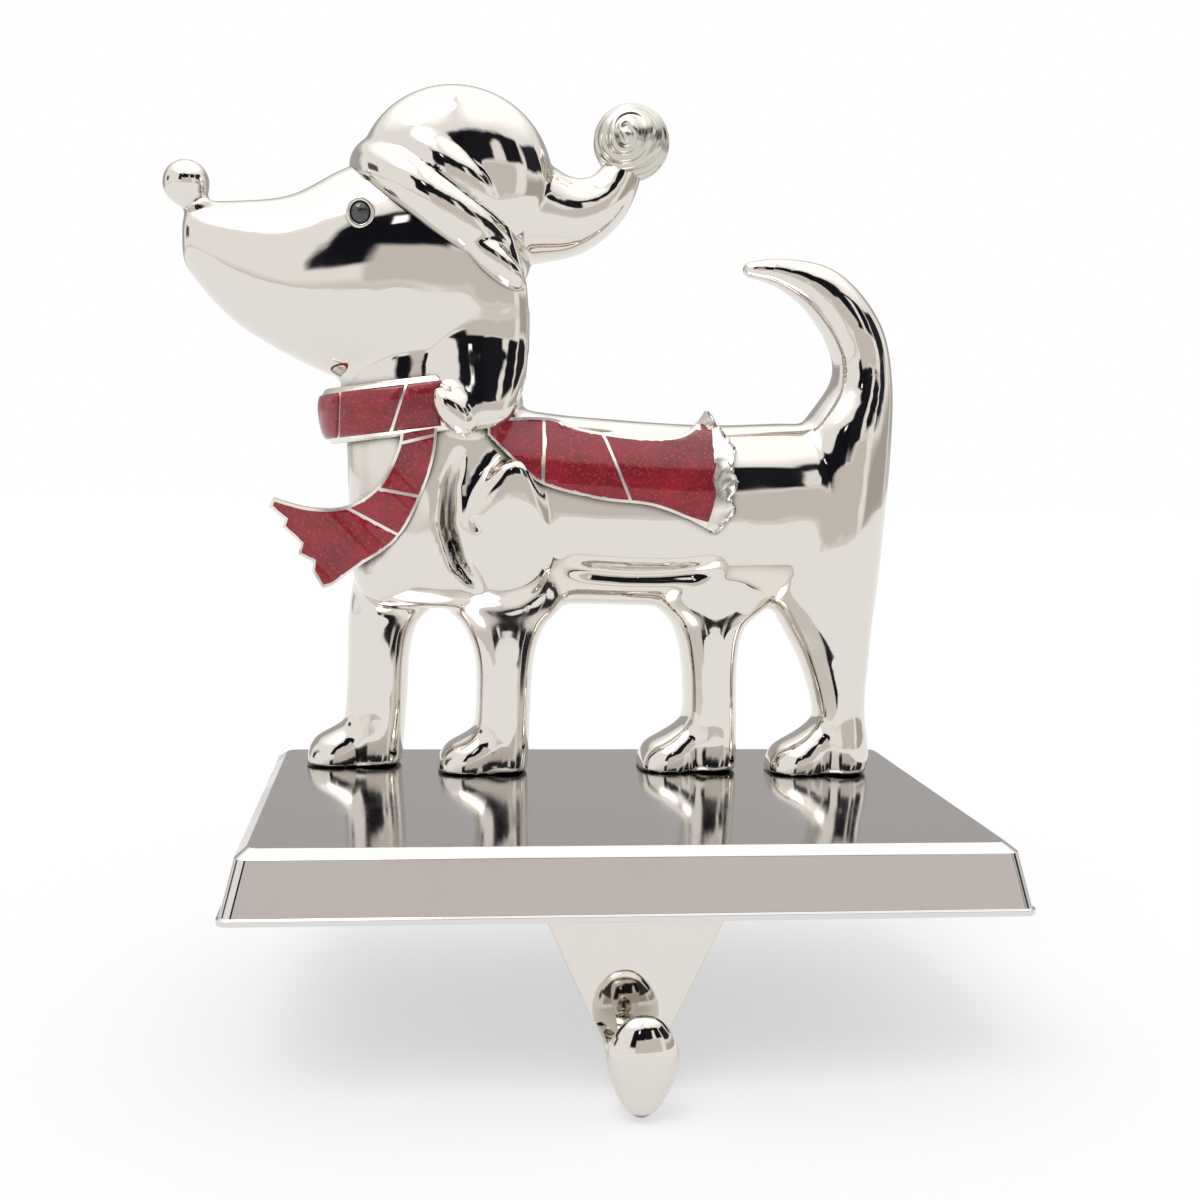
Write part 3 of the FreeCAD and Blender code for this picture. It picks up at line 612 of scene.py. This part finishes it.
back_outline = smooth_line(BACK_UPPER) + BACK_FRINGE + smooth_line(BACK_LOWER)
scarf_back = bent_plate(outline_sheet(back_outline), "scarf_flank_end", flank_near_y,
                        thickness=3.0, edge=0.3)
crumple = random.Random(7)
frayed_from, frayed_by = 18.6, 0.4
for vert in scarf_back.data.vertices:
    if vert.co.x > place(frayed_from, 0, 0).x:
        vert.co += Vector([crumple.uniform(-frayed_by, frayed_by) * mm for axis in range(3)])
print("scarf ends have", [len(piece.data.polygons) for piece in (scarf_front, scarf_back)], "faces")

# %% [markdown]
# Enamel is glass melted into fields of the metal. The fields are the same sheets, drawn in from
# the bright edges and cut at the ribs, and each is a thin plate with rounded edges.

# %% Enamel fields
field_margin = 0.5
enamel_stand = 0.12
enamel_depth = 0.6


def inner_outline(outline, margin):
    """The outline drawn in by a margin, by an inset of its face."""
    bm = bmesh.new()
    face = bm.faces.new([bm.verts.new((x, 0, height)) for x, height in outline])
    bm.normal_update()
    bmesh.ops.inset_region(bm, faces=[face], thickness=margin, use_boundary=True, use_even_offset=True)
    drawn = [(vert.co.x, vert.co.z) for vert in face.verts]
    bm.free()
    return drawn


def enamel(outline, ribs, near_y, name):
    sheet = outline_sheet(inner_outline(outline, field_margin))
    for start, end in ribs:
        drop_band(sheet, start, end, rib_width)
    return bent_plate(sheet, name, lambda x, height: near_y(x, height) - enamel_stand,
                      thickness=enamel_depth, edge=0.15)


front_enamel = enamel(front_outline, FRONT_RIBS, front_near_y, "front_end_glaze")
# The enamel of the flank end stops short of the fringe.
BACK_ENAMEL_END = [(19.6, 64.2), (19.2, 61), (19.7, 58), (19, 55), (19.5, 52), (18.6, 48.6), (18, 46.6)]
shorter = smooth_line(BACK_UPPER)[:-4] + BACK_ENAMEL_END + smooth_line(BACK_LOWER)
back_enamel = enamel(shorter, BACK_RIBS, flank_near_y, "flank_end_glaze")

LOOP_RIBS = [((-47.6, 76), (-48.4, 56)), ((-34.6, 76), (-40.6, 56))]
loop_fields_back = -30.6        # behind this x the turn is bare metal
loop_fields = bmesh.new()
sweep(loop_fields, loop_rows(0.8, -enamel_stand), fullness=0.97, segments=128)
caps = [face for face in loop_fields.faces if len(face.verts) > 4]
bmesh.ops.delete(loop_fields, geom=caps, context="FACES_ONLY")
for start, end in LOOP_RIBS:
    drop_band(loop_fields, start, end, rib_width)
behind = [face for face in loop_fields.faces if face.calc_center_median().x > loop_fields_back]
bmesh.ops.delete(loop_fields, geom=behind, context="FACES")
loop_enamel = modified(to_object(loop_fields, "turn_glaze"), "SOLIDIFY",
                       thickness=enamel_depth * mm, offset=-1)
print("enamel has", len(FRONT_RIBS) + 1, "fields in front and", len(BACK_RIBS) + 1, "on the flank")

# %% [markdown]
# Each eye is a glossy bead in a bright rim. The rim is a small circle that spin carries round the
# bead, and use_merge joins the last ring to the first. Both are a little taller than wide.

# %% Eyes
bead_radius, rim_radius, rim_half_thickness, taller = 1.75, 2.05, 0.42, 1.12


def eye(side, name):
    """A dark bead in a bright rim."""
    floor_y = (near_eye_high.y if side < 0 else far_eye_low.y) / mm
    bead_place, rim_place = [
        Matrix.Translation((eye_centre.x / mm, floor_y + side * out, eye_centre.z / mm))
        for out in (0.45, 0.9)]
    bead = bmesh.new()
    bmesh.ops.create_uvsphere(bead, u_segments=48, v_segments=24, radius=bead_radius)
    bmesh.ops.transform(bead, matrix=bead_place @ Matrix.Diagonal((1.0, 0.9, taller, 1)),
                        verts=bead.verts)
    rim = bmesh.new()
    ring = bmesh.ops.create_circle(rim, segments=16, radius=rim_half_thickness)["verts"]
    bmesh.ops.rotate(rim, matrix=Matrix.Rotation(math.radians(90), 3, "X"), verts=ring)
    bmesh.ops.translate(rim, vec=Vector((rim_radius, 0, 0)), verts=ring)
    bmesh.ops.spin(rim, geom=rim.verts[:] + rim.edges[:], axis=Z_AXIS, cent=Vector(), angle=2 * math.pi,
                   steps=48, use_merge=True)
    upright_ring = Matrix.Rotation(math.radians(90), 4, "X")
    bmesh.ops.transform(rim, matrix=rim_place @ Matrix.Diagonal((1, 1, taller, 1)) @ upright_ring,
                        verts=rim.verts)
    return (applied(to_object(bead, name + "_bead", frame_origin)),
            applied(to_object(rim, name + "_rim", frame_origin)))


near_bead, near_rim = eye(-1, "near_eye")
far_bead, far_rim = eye(1, "far_eye")

# %% [markdown]
# The base is a cast tray. A rectangle gets round corners by a vertex bevel, then it is extruded
# up through the levels of the side: lip, slope, bevel, top. Insets and extrusions from below
# give the pad's recess and the cavity, and a last edge bevel softens every corner.

# %% Base casting
base_width, base_depth, corner_radius = 125.6, 80.0, 2.0
rim_height, roof_height, recess_height = base_low.z / mm, 8.0, 1.2
rim_width, shelf_width = 2.0, 4.75
# How far the side has stepped in, at each height.
SIDE_LEVELS = [(0, 1.2), (0.4, 1.35), (2.4, 9.7), (4.15, base_top)]


def raised(bm, face, width, depth, rise):
    """Extrudes a face to another level and size."""
    low, high = ([pick(v.co[i] for v in face.verts) for i in (0, 1)] for pick in (min, max))
    grown = bmesh.ops.extrude_discrete_faces(bm, faces=[face])["faces"][0]
    size = Matrix.Diagonal((width / (high[0] - low[0]), depth / (high[1] - low[1]), 1, 1))
    bmesh.ops.transform(bm, matrix=Matrix.Translation((0, 0, rise)) @ size, verts=grown.verts)
    return grown


tray = bmesh.new()
bmesh.ops.create_grid(tray, x_segments=1, y_segments=1, size=0.5)
bmesh.ops.transform(tray, verts=tray.verts, matrix=Matrix.Translation((0, 0, rim_height))
                    @ Matrix.Diagonal((base_width, base_depth, 1, 1)))
bmesh.ops.bevel(tray, geom=tray.verts[:], affect="VERTICES", offset=corner_radius, segments=8,
                profile=0.5, material=-1)
tray.faces.ensure_lookup_table()
top_face, level = tray.faces[0], rim_height
under_face = bmesh.ops.duplicate(tray, geom=[top_face])["face_map"][top_face]
for step_in, height in SIDE_LEVELS:
    top_face = raised(tray, top_face, base_width - 2 * step_in, base_depth - 2 * step_in,
                      height - level)
    level = height
bmesh.ops.inset_region(tray, faces=[under_face], thickness=rim_width, use_even_offset=True)
under_face = raised(tray, under_face, base_width - 2 * rim_width, base_depth - 2 * rim_width,
                    recess_height - rim_height)
bmesh.ops.inset_region(tray, faces=[under_face], thickness=shelf_width, use_even_offset=True)
cavity_in = 2 * (rim_width + shelf_width)
raised(tray, under_face, base_width - cavity_in, base_depth - cavity_in, roof_height - recess_height)
bmesh.ops.remove_doubles(tray, verts=tray.verts, dist=1e-4)
base_casting = to_object(tray, "base_casting", frame_origin)

# %% [markdown]
# The bracket passes through a notch in the rim, and the dog's screws pass through the base's top.
# One boolean takes both away. The cutter goes once its cut is real.

# %% Notch and screw holes of the base
DOG_SCREWS = [(-42, 24.9), (46.1, 16.8)]
bore_radius = 2.25


def block(bm, centre, size):
    """Adds a box with the given centre and size."""
    placed = Matrix.Translation(centre) @ Matrix.Diagonal((*size, 1))
    bmesh.ops.create_cube(bm, size=1.0, matrix=placed)


notch_centre, notch_size = (0, -17.5, 2.0), (28.2, 38.6, 12.0)
cutter_mesh = bmesh.new()
block(cutter_mesh, notch_centre, notch_size)
for x, y in DOG_SCREWS:
    bore = bmesh.ops.create_cone(cutter_mesh, cap_ends=True, segments=32, radius1=bore_radius,
                                 radius2=bore_radius, depth=30.0)["verts"]
    bmesh.ops.translate(cutter_mesh, vec=Vector((x, y, 12.0)), verts=bore)
cutter = to_object(cutter_mesh, "cutter", frame_origin)
modified(base_casting, "BOOLEAN", operation="DIFFERENCE", object=cutter, solver="EXACT")
flat_where_large(cleaned(edges_rounded(base_casting, 0.19, 22)), 60)
bpy.data.objects.remove(cutter)
print("base casting has", len(base_casting.data.polygons), "faces")

# %% [markdown]
# The bracket is bent from strip: a flange inside the base, a plate that narrows over the
# mantel's edge, a bend, and a round end that keeps the stocking on. A rectangle is carried along
# the strip's middle line, and its width follows the taper.

# %% Hook
plate_rear, plate_front, arm_front = -33.5, -36.5, -47.1
strip_thickness, strip_top = 3.0, 6.5
plate_middle = plate_rear - strip_thickness / 2
bend_middle, bend_height, bend_radius = (plate_rear + arm_front) / 2, -20.1, 5.3
shoulder_height, waist_height, shoulder_half_width, waist_half_width = -0.6, -25.4, 13.8, 2.4
knob_high, knob_length, knob_half_width, knob_half_depth = -11.8, 15.6, 5.4, 3.05


def strip_half_width(height):
    """The taper, seen from the front: straight from the shoulder down to the waist."""
    share = min(max((shoulder_height - height) / (shoulder_height - waist_height), 0), 1)
    return shoulder_half_width + (waist_half_width - shoulder_half_width) * share


# Each place on the line has a y, a height and the angle that the strip has turned by.
strip_line = [(plate_middle, height, 0.0)
              for height in (strip_top, 2.0, shoulder_height, -6.0, -12.0, bend_height)]
for degrees in range(10, 181, 10):
    angle = math.radians(degrees)
    strip_line.append((bend_middle + bend_radius * math.cos(angle),
                       bend_height - bend_radius * math.sin(angle), -angle))
strip_line.append((bend_middle - bend_radius, knob_high - 0.6 * knob_length, -math.pi))

strip = bmesh.new()
corners = bmesh.ops.create_grid(strip, x_segments=1, y_segments=1, size=0.5)["verts"]
carried(strip, corners, strip.edges[:],
        [Matrix.Translation((0, y, height)) @ Matrix.Rotation(angle, 4, "X")
         @ Matrix.Diagonal((2 * strip_half_width(height), strip_thickness, 1, 1))
         for y, height, angle in strip_line])
flange_centre, flange_size = (0, plate_front + 11.5, 5.25), (27.5, 22.9, 2.4)
block(strip, flange_centre, flange_size)
hook_plate = to_object(strip, "hook_plate", frame_origin)
flat_where_large(cleaned(edges_rounded(hook_plate, 0.35, 40)), 30)

# %% [markdown]
# The hook ends in a flattened drop, a sweep with its stations close together at both tips. It is
# placed in the frame's y, so the dog's own y is taken off.

# %% Round end of the hook
# Share of the length, and share of the half width.
KNOB_ROWS = [
    (0, 0.12), (0.02, 0.34), (0.08, 0.58), (0.2, 0.84), (0.36, 1), (0.52, 0.97), (0.68, 0.82),
    (0.82, 0.62), (0.92, 0.42), (0.98, 0.20), (1, 0.05)]
knob_y = -46.4
knob = bmesh.new()
sweep(knob, smoothed([(0.0, knob_high - knob_length * share - base_top, knob_half_width * wide,
                       knob_half_depth * wide, 0.0, knob_y - dog_y) for share, wide in KNOB_ROWS]),
      segments=64)
hook_end = applied(to_object(knob, "hook_round_end"))

# %% [markdown]
# Polished metal shows its surroundings more than itself, so its material is nearly bare. What
# makes it look real is the handling. One shader group gives smears and tiny waves to every metal.

# %% Shared surface effects
def fill(node, sockets):
    """Puts values on a node's input sockets."""
    for label, value in sockets.items():
        node.inputs[label].default_value = value
    return node


def add(nodes, kind, sockets={}, **settings):
    """A new shader node with its own settings and with values on its sockets."""
    node = nodes.new("ShaderNode" + kind)
    for label, value in settings.items():
        setattr(node, label, value)
    return fill(node, sockets)


def wire(links, *wires):
    """Joins one node's output to another node's input, by their names."""
    for source, output_name, target, input_name in wires:
        links.new(source.outputs[output_name], target.inputs[input_name])


marks = bpy.data.node_groups.new("handling marks", "ShaderNodeTree")
for label, value in (("Low", 0.05), ("High", 0.16), ("Wave size", 60.0)):
    socket = marks.interface.new_socket(label, in_out="INPUT", socket_type="NodeSocketFloat")
    socket.default_value = value
for label in ("Roughness", "Height"):
    marks.interface.new_socket(label, in_out="OUTPUT", socket_type="NodeSocketFloat")
given, result = marks.nodes.new("NodeGroupInput"), marks.nodes.new("NodeGroupOutput")
where = add(marks.nodes, "TexCoord")
smears = add(marks.nodes, "TexNoise", {"Scale": 90.0, "Detail": 5.0, "Roughness": 0.65})
spread = add(marks.nodes, "MapRange", {"From Min": 0.4, "From Max": 0.75})
waves = add(marks.nodes, "TexNoise", {"Detail": 1.0})
wire(marks.links, (where, "Object", smears, "Vector"), (where, "Object", waves, "Vector"),
     (given, "Wave size", waves, "Scale"), (smears, "Fac", spread, "Value"),
     (given, "Low", spread, "To Min"), (given, "High", spread, "To Max"),
     (spread, "Result", result, "Roughness"), (waves, "Fac", result, "Height"))
print("group", marks.name, "has", len(marks.nodes), "nodes")

# %% [markdown]
# The metals differ in colour, in how smooth they are and in the size of their waves. The polished
# one also has painted shade in narrow gaps: its colour turns nearly black there. An Ambient
# Occlusion node finds those gaps, because it measures how much of its surroundings a point can see.

# %% Metals
def new_material(name):
    material = bpy.data.materials.new(name)
    material.use_nodes = True
    tree = material.node_tree
    return material, tree.nodes, tree.links, tree.nodes["Principled BSDF"]


def metal(name, colour, low, high, wave_size, wave_height, metallic=1.0, painted_gap_shade=None):
    """The shade colour, if given, is painted shade: it darkens the base colour in narrow gaps, where a
    point sees little of its surroundings.
    """
    material, nodes, links, surface = new_material(name)
    fill(surface, {"Base Color": (*colour, 1), "Metallic": metallic})
    if painted_gap_shade:
        # Painted shade: the base colour turns towards the dark colour where the Ambient Occlusion node
        # finds a narrow gap.
        gap = add(nodes, "AmbientOcclusion", {"Distance": 2.2 * mm}, samples=8)
        gap_shade_share = add(nodes, "MapRange", {"From Min": 0.42, "From Max": 0.78})
        shown = add(nodes, "Mix", {"A": (*painted_gap_shade, 1), "B": (*colour, 1)}, data_type="RGBA")
        wire(links, (gap, "AO", gap_shade_share, "Value"), (gap_shade_share, "Result", shown, "Factor"),
             (shown, "Result", surface, "Base Color"))
    effect = add(nodes, "Group", {"Low": low, "High": high, "Wave size": wave_size}, node_tree=marks)
    bump = add(nodes, "Bump", {"Strength": 1.0, "Distance": wave_height})
    wire(links, (effect, "Roughness", surface, "Roughness"), (effect, "Height", bump, "Height"),
         (bump, "Normal", surface, "Normal"))
    return material


# Its near-black gap colour is painted shade in narrow gaps.
polished = metal("polished nickel", (0.74, 0.705, 0.655), 0.03, 0.10, 70.0, 0.0004,
                 painted_gap_shade=(0.035, 0.03, 0.026))
yarn = metal("cast yarn nickel", (0.62, 0.60, 0.54), 0.14, 0.26, 200.0, 0.0002)
rubbed = metal("rubbed nickel", (0.86, 0.83, 0.78), 0.28, 0.42, 300.0, 0.0001)
base_finish = metal("base nickel", (0.72, 0.70, 0.685), 0.08, 0.17, 40.0, 0.0001)
zinc = metal("zinc plated steel", (0.60, 0.60, 0.58), 0.25, 0.4, 400.0, 0.00005)
iron = metal("raw iron", (0.16, 0.155, 0.15), 0.5, 0.8, 900.0, 0.0002, metallic=0.8)

# %% [markdown]
# The enamel is red glass over glitter. A noise gives its tone, and the few cells of a Voronoi
# texture with a high red value are flakes. The eye is black gloss, and the felt is matt.

# %% Enamel, eye and felt
def mottled(name, scale, detail, low, high, start=0.0, stop=1.0):
    """A material whose base colour goes from one colour to another in a noise."""
    material, nodes, links, surface = new_material(name)
    where, tone = add(nodes, "TexCoord"), add(nodes, "ValToRGB")
    noise = add(nodes, "TexNoise", {"Scale": scale, "Detail": detail})
    for element, position, shade in zip(tone.color_ramp.elements, (start, stop), (low, high)):
        element.position = position
        element.color = (*shade, 1)
    wire(links, (where, "Object", noise, "Vector"), (noise, "Fac", tone, "Fac"),
         (tone, "Color", surface, "Base Color"))
    return material, nodes, links, surface, where, tone, noise


glaze, nodes, links, surface, where, tone = mottled(
    "red enamel", 160.0, 3.0, (0.17, 0.005, 0.012), (0.29, 0.008, 0.020), 0.35, 0.7)[:6]
flakes = add(nodes, "TexVoronoi", {"Scale": 3200.0})
sparkle = add(nodes, "MapRange", {"From Min": 0.82, "From Max": 0.9})
glitter = add(nodes, "Mix", {"B": (0.36, 0.02, 0.035, 1)}, data_type="RGBA")
split = add(nodes, "SeparateColor")
wire(links, (where, "Object", flakes, "Vector"), (flakes, "Color", split, "Color"),
     (split, "Red", sparkle, "Value"), (sparkle, "Result", glitter, "Factor"),
     (tone, "Color", glitter, "A"), (glitter, "Result", surface, "Base Color"))
fill(surface, {"Roughness": 0.5, "Specular IOR Level": 0.2, "Coat Weight": 1.0, "Coat IOR": 1.5,
               "Coat Roughness": 0.05})

gloss, nodes, links, surface = mottled(
    "eye gloss", 500.0, 2.0, (0.008, 0.008, 0.01), (0.035, 0.033, 0.034))[:4]
fill(surface, {"Roughness": 0.12, "Coat Weight": 1.0})

felt, nodes, links, surface, where, tone, fibres = mottled(
    "felt", 1400.0, 6.0, (0.018, 0.018, 0.02), (0.075, 0.075, 0.08))
bump = add(nodes, "Bump", {"Distance": 0.0003})
wire(links, (fibres, "Fac", bump, "Height"), (bump, "Normal", surface, "Normal"))
fill(surface, {"Roughness": 0.95})
print("materials, with the frame's own:", len(bpy.data.materials))

# %% [markdown]
# The pieces stand for eight nodes. `finish` gives each its material, ties it to the body with
# `attach` and hides the nodes that it takes the place of. Four nodes keep the frame's own mesh.

# %% Which piece stands for which node
def finish(piece, material, slot, *nodes):
    piece.data.materials.clear()
    piece.data.materials.append(material)
    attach(piece, "root")
    if nodes:
        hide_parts(*nodes)


for piece in (dog_body, winter_hat, near_rim, far_rim):
    finish(piece, polished, "polished_nickel", "dog_figurine")
finish(pompom, yarn, "polished_nickel", "dog_figurine")
for piece in (scarf_turn, scarf_front, scarf_back):
    finish(piece, rubbed, "polished_nickel", "dog_figurine")
for piece, node in ((loop_enamel, "loop_enamel"), (front_enamel, "front_end_enamel"),
                    (back_enamel, "back_end_enamel")):
    finish(piece, glaze, "red_enamel", node)
finish(near_bead, gloss, "eye_gloss", "near_eye")
finish(far_bead, gloss, "eye_gloss", "far_eye")
finish(base_casting, base_finish, "base_nickel", "base_shell")
for piece in (hook_plate, hook_end):
    finish(piece, polished, "polished_nickel", "hook_bracket")
for node, material in (("base_pad", felt), ("ballast_weight", iron), ("dog_screws", zinc),
                       ("bracket_screws", zinc)):
    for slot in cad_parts[node].material_slots:
        slot.material = material

# %% [markdown]
# A photographer puts a white tent and dark cards round polished metal, because only dark shapes in
# the reflections draw its form. The world does the same by direction, for reflections alone. The
# camera itself sees plain white.

# %% Surroundings
world = bpy.data.worlds.new("light tent")
bpy.context.scene.world = world
world.use_nodes = True
nodes, links = world.node_tree.nodes, world.node_tree.links
nodes.clear()
where, axes = add(nodes, "TexCoord"), add(nodes, "SeparateXYZ")
ragged = add(nodes, "TexNoise", {"Scale": 3.2, "Detail": 3.0})
stray = add(nodes, "SeparateColor")
wire(links, (where, "Generated", axes, "Vector"), (where, "Generated", ragged, "Vector"),
     (ragged, "Color", stray, "Color"))


def calc(operation, a, b=None, clamp=False):
    """A Math node for numbers or other nodes' outputs. It returns its own output."""
    node = add(nodes, "Math", operation=operation, use_clamp=clamp)
    for index, value in enumerate((a, b)):
        if value is None:
            continue
        if isinstance(value, (int, float)):
            node.inputs[index].default_value = value
        else:
            links.new(value, node.inputs[index])
    return node.outputs[0]


waviness = 0.14


def shaken(angle, share):
    """An angle with a few degrees of waviness, so that no card has a ruled edge."""
    return calc("ADD", angle, calc("MULTIPLY", calc("SUBTRACT", share, 0.5), waviness))


azimuth = shaken(calc("ARCTAN2", axes.outputs["X"], axes.outputs["Y"]), stray.outputs["Red"])
elevation = shaken(calc("ARCSINE", axes.outputs["Z"]), stray.outputs["Green"])


def card(turn, rise, half_turn, half_rise, softness):
    """A mask for a card round the object. Angles in degrees: turn 0 is away from the camera, 90 is
    to the right and 180 is behind the camera."""
    beside = calc("WRAP", calc("SUBTRACT", azimuth, math.radians(turn)), math.pi)
    beside.node.inputs[2].default_value = -math.pi
    beside = calc("ABSOLUTE", beside)
    above = calc("ABSOLUTE", calc("SUBTRACT", elevation, math.radians(rise)))
    soft = math.radians(softness)
    inside = [calc("DIVIDE", calc("SUBTRACT", math.radians(half), away), soft, True)
              for half, away in ((half_turn, beside), (half_rise, above))]
    return calc("MULTIPLY", *inside)


# Each row has turn, rise, half turn, half rise and softness in degrees, then the card's colour.
# A later card hangs in front of the earlier ones.
CARDS = [(0, 70, 180, 32, 12, (1.45, 1.45, 1.45)),  # roof of the tent
         (0, -50, 180, 50, 5, (0.78, 0.755, 0.72)),  # table
         (0, 14, 62, 20, 8, (0.45, 0.44, 0.435)),  # grey wall behind the object
         (95, 2, 34, 10, 6, (0.48, 0.45, 0.41)),  # right, level
         (153, 27, 26, 11, 2.5, (0.012, 0.012, 0.016)),  # three dark cards, high
         (190, 21, 16, 16, 2.5, (0.008, 0.008, 0.012)),
         (106, 24, 20, 12, 3, (0.022, 0.022, 0.028)),
         (165, 6.5, 28, 10.5, 2.5, (0.70, 0.66, 0.63)),  # pale card below them
         (-88, 14, 12, 9, 4, (0.10, 0.095, 0.09)),  # left
         (150, 24, 5, 8, 2, (0.95, 0.93, 0.9)),  # slot of light in the first
         (187, 31, 2.5, 2.5, 1, (1.6, 1.6, 1.6))]  # small lamp
colour = None
for turn, rise, half_turn, half_rise, softness, shade in CARDS:
    laid = add(nodes, "Mix", {"A": (1.0, 0.99, 0.975, 1), "B": (*shade, 1)}, data_type="RGBA")
    links.new(card(turn, rise, half_turn, half_rise, softness), laid.inputs["Factor"])
    if colour:
        links.new(colour, laid.inputs["A"])
    colour = laid.outputs["Result"]
reflected, soft_light, plain = [add(nodes, "Background", {"Color": (grey, grey, grey, 1)})
                                for grey in (1.0, 0.8, 1.0)]
links.new(colour, reflected.inputs["Color"])
path, output = add(nodes, "LightPath"), add(nodes, "OutputWorld")
first, second = add(nodes, "MixShader"), add(nodes, "MixShader")
wire(links, (path, "Is Glossy Ray", first, "Fac"), (soft_light, "Background", first, 1),
     (reflected, "Background", first, 2), (path, "Is Camera Ray", second, "Fac"),
     (first, "Shader", second, 1), (plain, "Background", second, 2),
     (second, "Shader", output, "Surface"))
print("world has", len(CARDS), "cards and", len(nodes), "nodes")

# %% [markdown]
# The photo shows no ground but a soft shadow. A white floor just below the object takes it, and
# glows to the camera and in reflections, so that it melts into the white. The camera's place and
# turn were solved from the photo.

# %% Floor, lamp and camera
floor_half, floor_y, floor_gap = 1600.0, 600.0, 0.8
floor_mesh = bmesh.new()
bmesh.ops.create_grid(floor_mesh, x_segments=1, y_segments=1, size=floor_half)
bmesh.ops.translate(floor_mesh, vec=Vector((0, floor_y, cad_low.z / mm - floor_gap)),
                    verts=floor_mesh.verts)
floor = to_object(floor_mesh, "floor", frame_origin)
floor_finish, nodes, links, surface = new_material("white sweep")
fill(surface, {"Base Color": (0.98, 0.98, 0.98, 1), "Roughness": 0.9, "Specular IOR Level": 0.0})
path, glow, shown = [add(nodes, kind) for kind in ("LightPath", "Emission", "MixShader")]
seen = add(nodes, "Math", operation="MAXIMUM")
part_glow = add(nodes, "Math", {1: 0.55}, operation="MULTIPLY")
wire(links, (path, "Is Camera Ray", seen, 0), (path, "Is Glossy Ray", seen, 1),
     (seen, "Value", part_glow, 0), (part_glow, "Value", shown, "Fac"), (surface, "BSDF", shown, 1),
     (glow, "Emission", shown, 2), (shown, "Shader", nodes["Material Output"], "Surface"))
floor.data.materials.append(floor_finish)

lamp_data = bpy.data.lights.new("window", "SUN")
lamp_data.energy = 0.9
lamp_data.angle = math.radians(35)
lamp = bpy.data.objects.new("window", lamp_data)
lamp.rotation_euler = Vector((-0.35, -0.45, 1.0)).to_track_quat("Z", "Y").to_euler()
bpy.context.scene.collection.objects.link(lamp)

camera_data = bpy.data.cameras.new("camera")
camera_data.lens = 45.0
camera_data.sensor_width = 36.0
camera_data.clip_start = 0.01
camera = bpy.data.objects.new("camera", camera_data)
right = Vector((0.99279771, -0.11738726, 0.02393609))
up = Vector((-0.01137521, 0.10652813, 0.99424462))
forward = Vector((0.11926152, 0.98735606, -0.10442558))
turned = Matrix((right, up, -forward)).transposed().to_4x4()
turned.translation = Vector((-33.509, -257.171, 71.981)) * mm
camera.matrix_world = turned
bpy.context.scene.collection.objects.link(camera)
bpy.context.scene.camera = camera
bpy.context.scene.view_settings.view_transform = "Standard"

# %% [markdown]
# The frame's box, from before the pieces were dressed, is printed again. It has to stay inside
# the frame's box.

# %% Size before
print("bounds before", [round(v / mm, 2) for v in (*cad_low, *cad_high)])
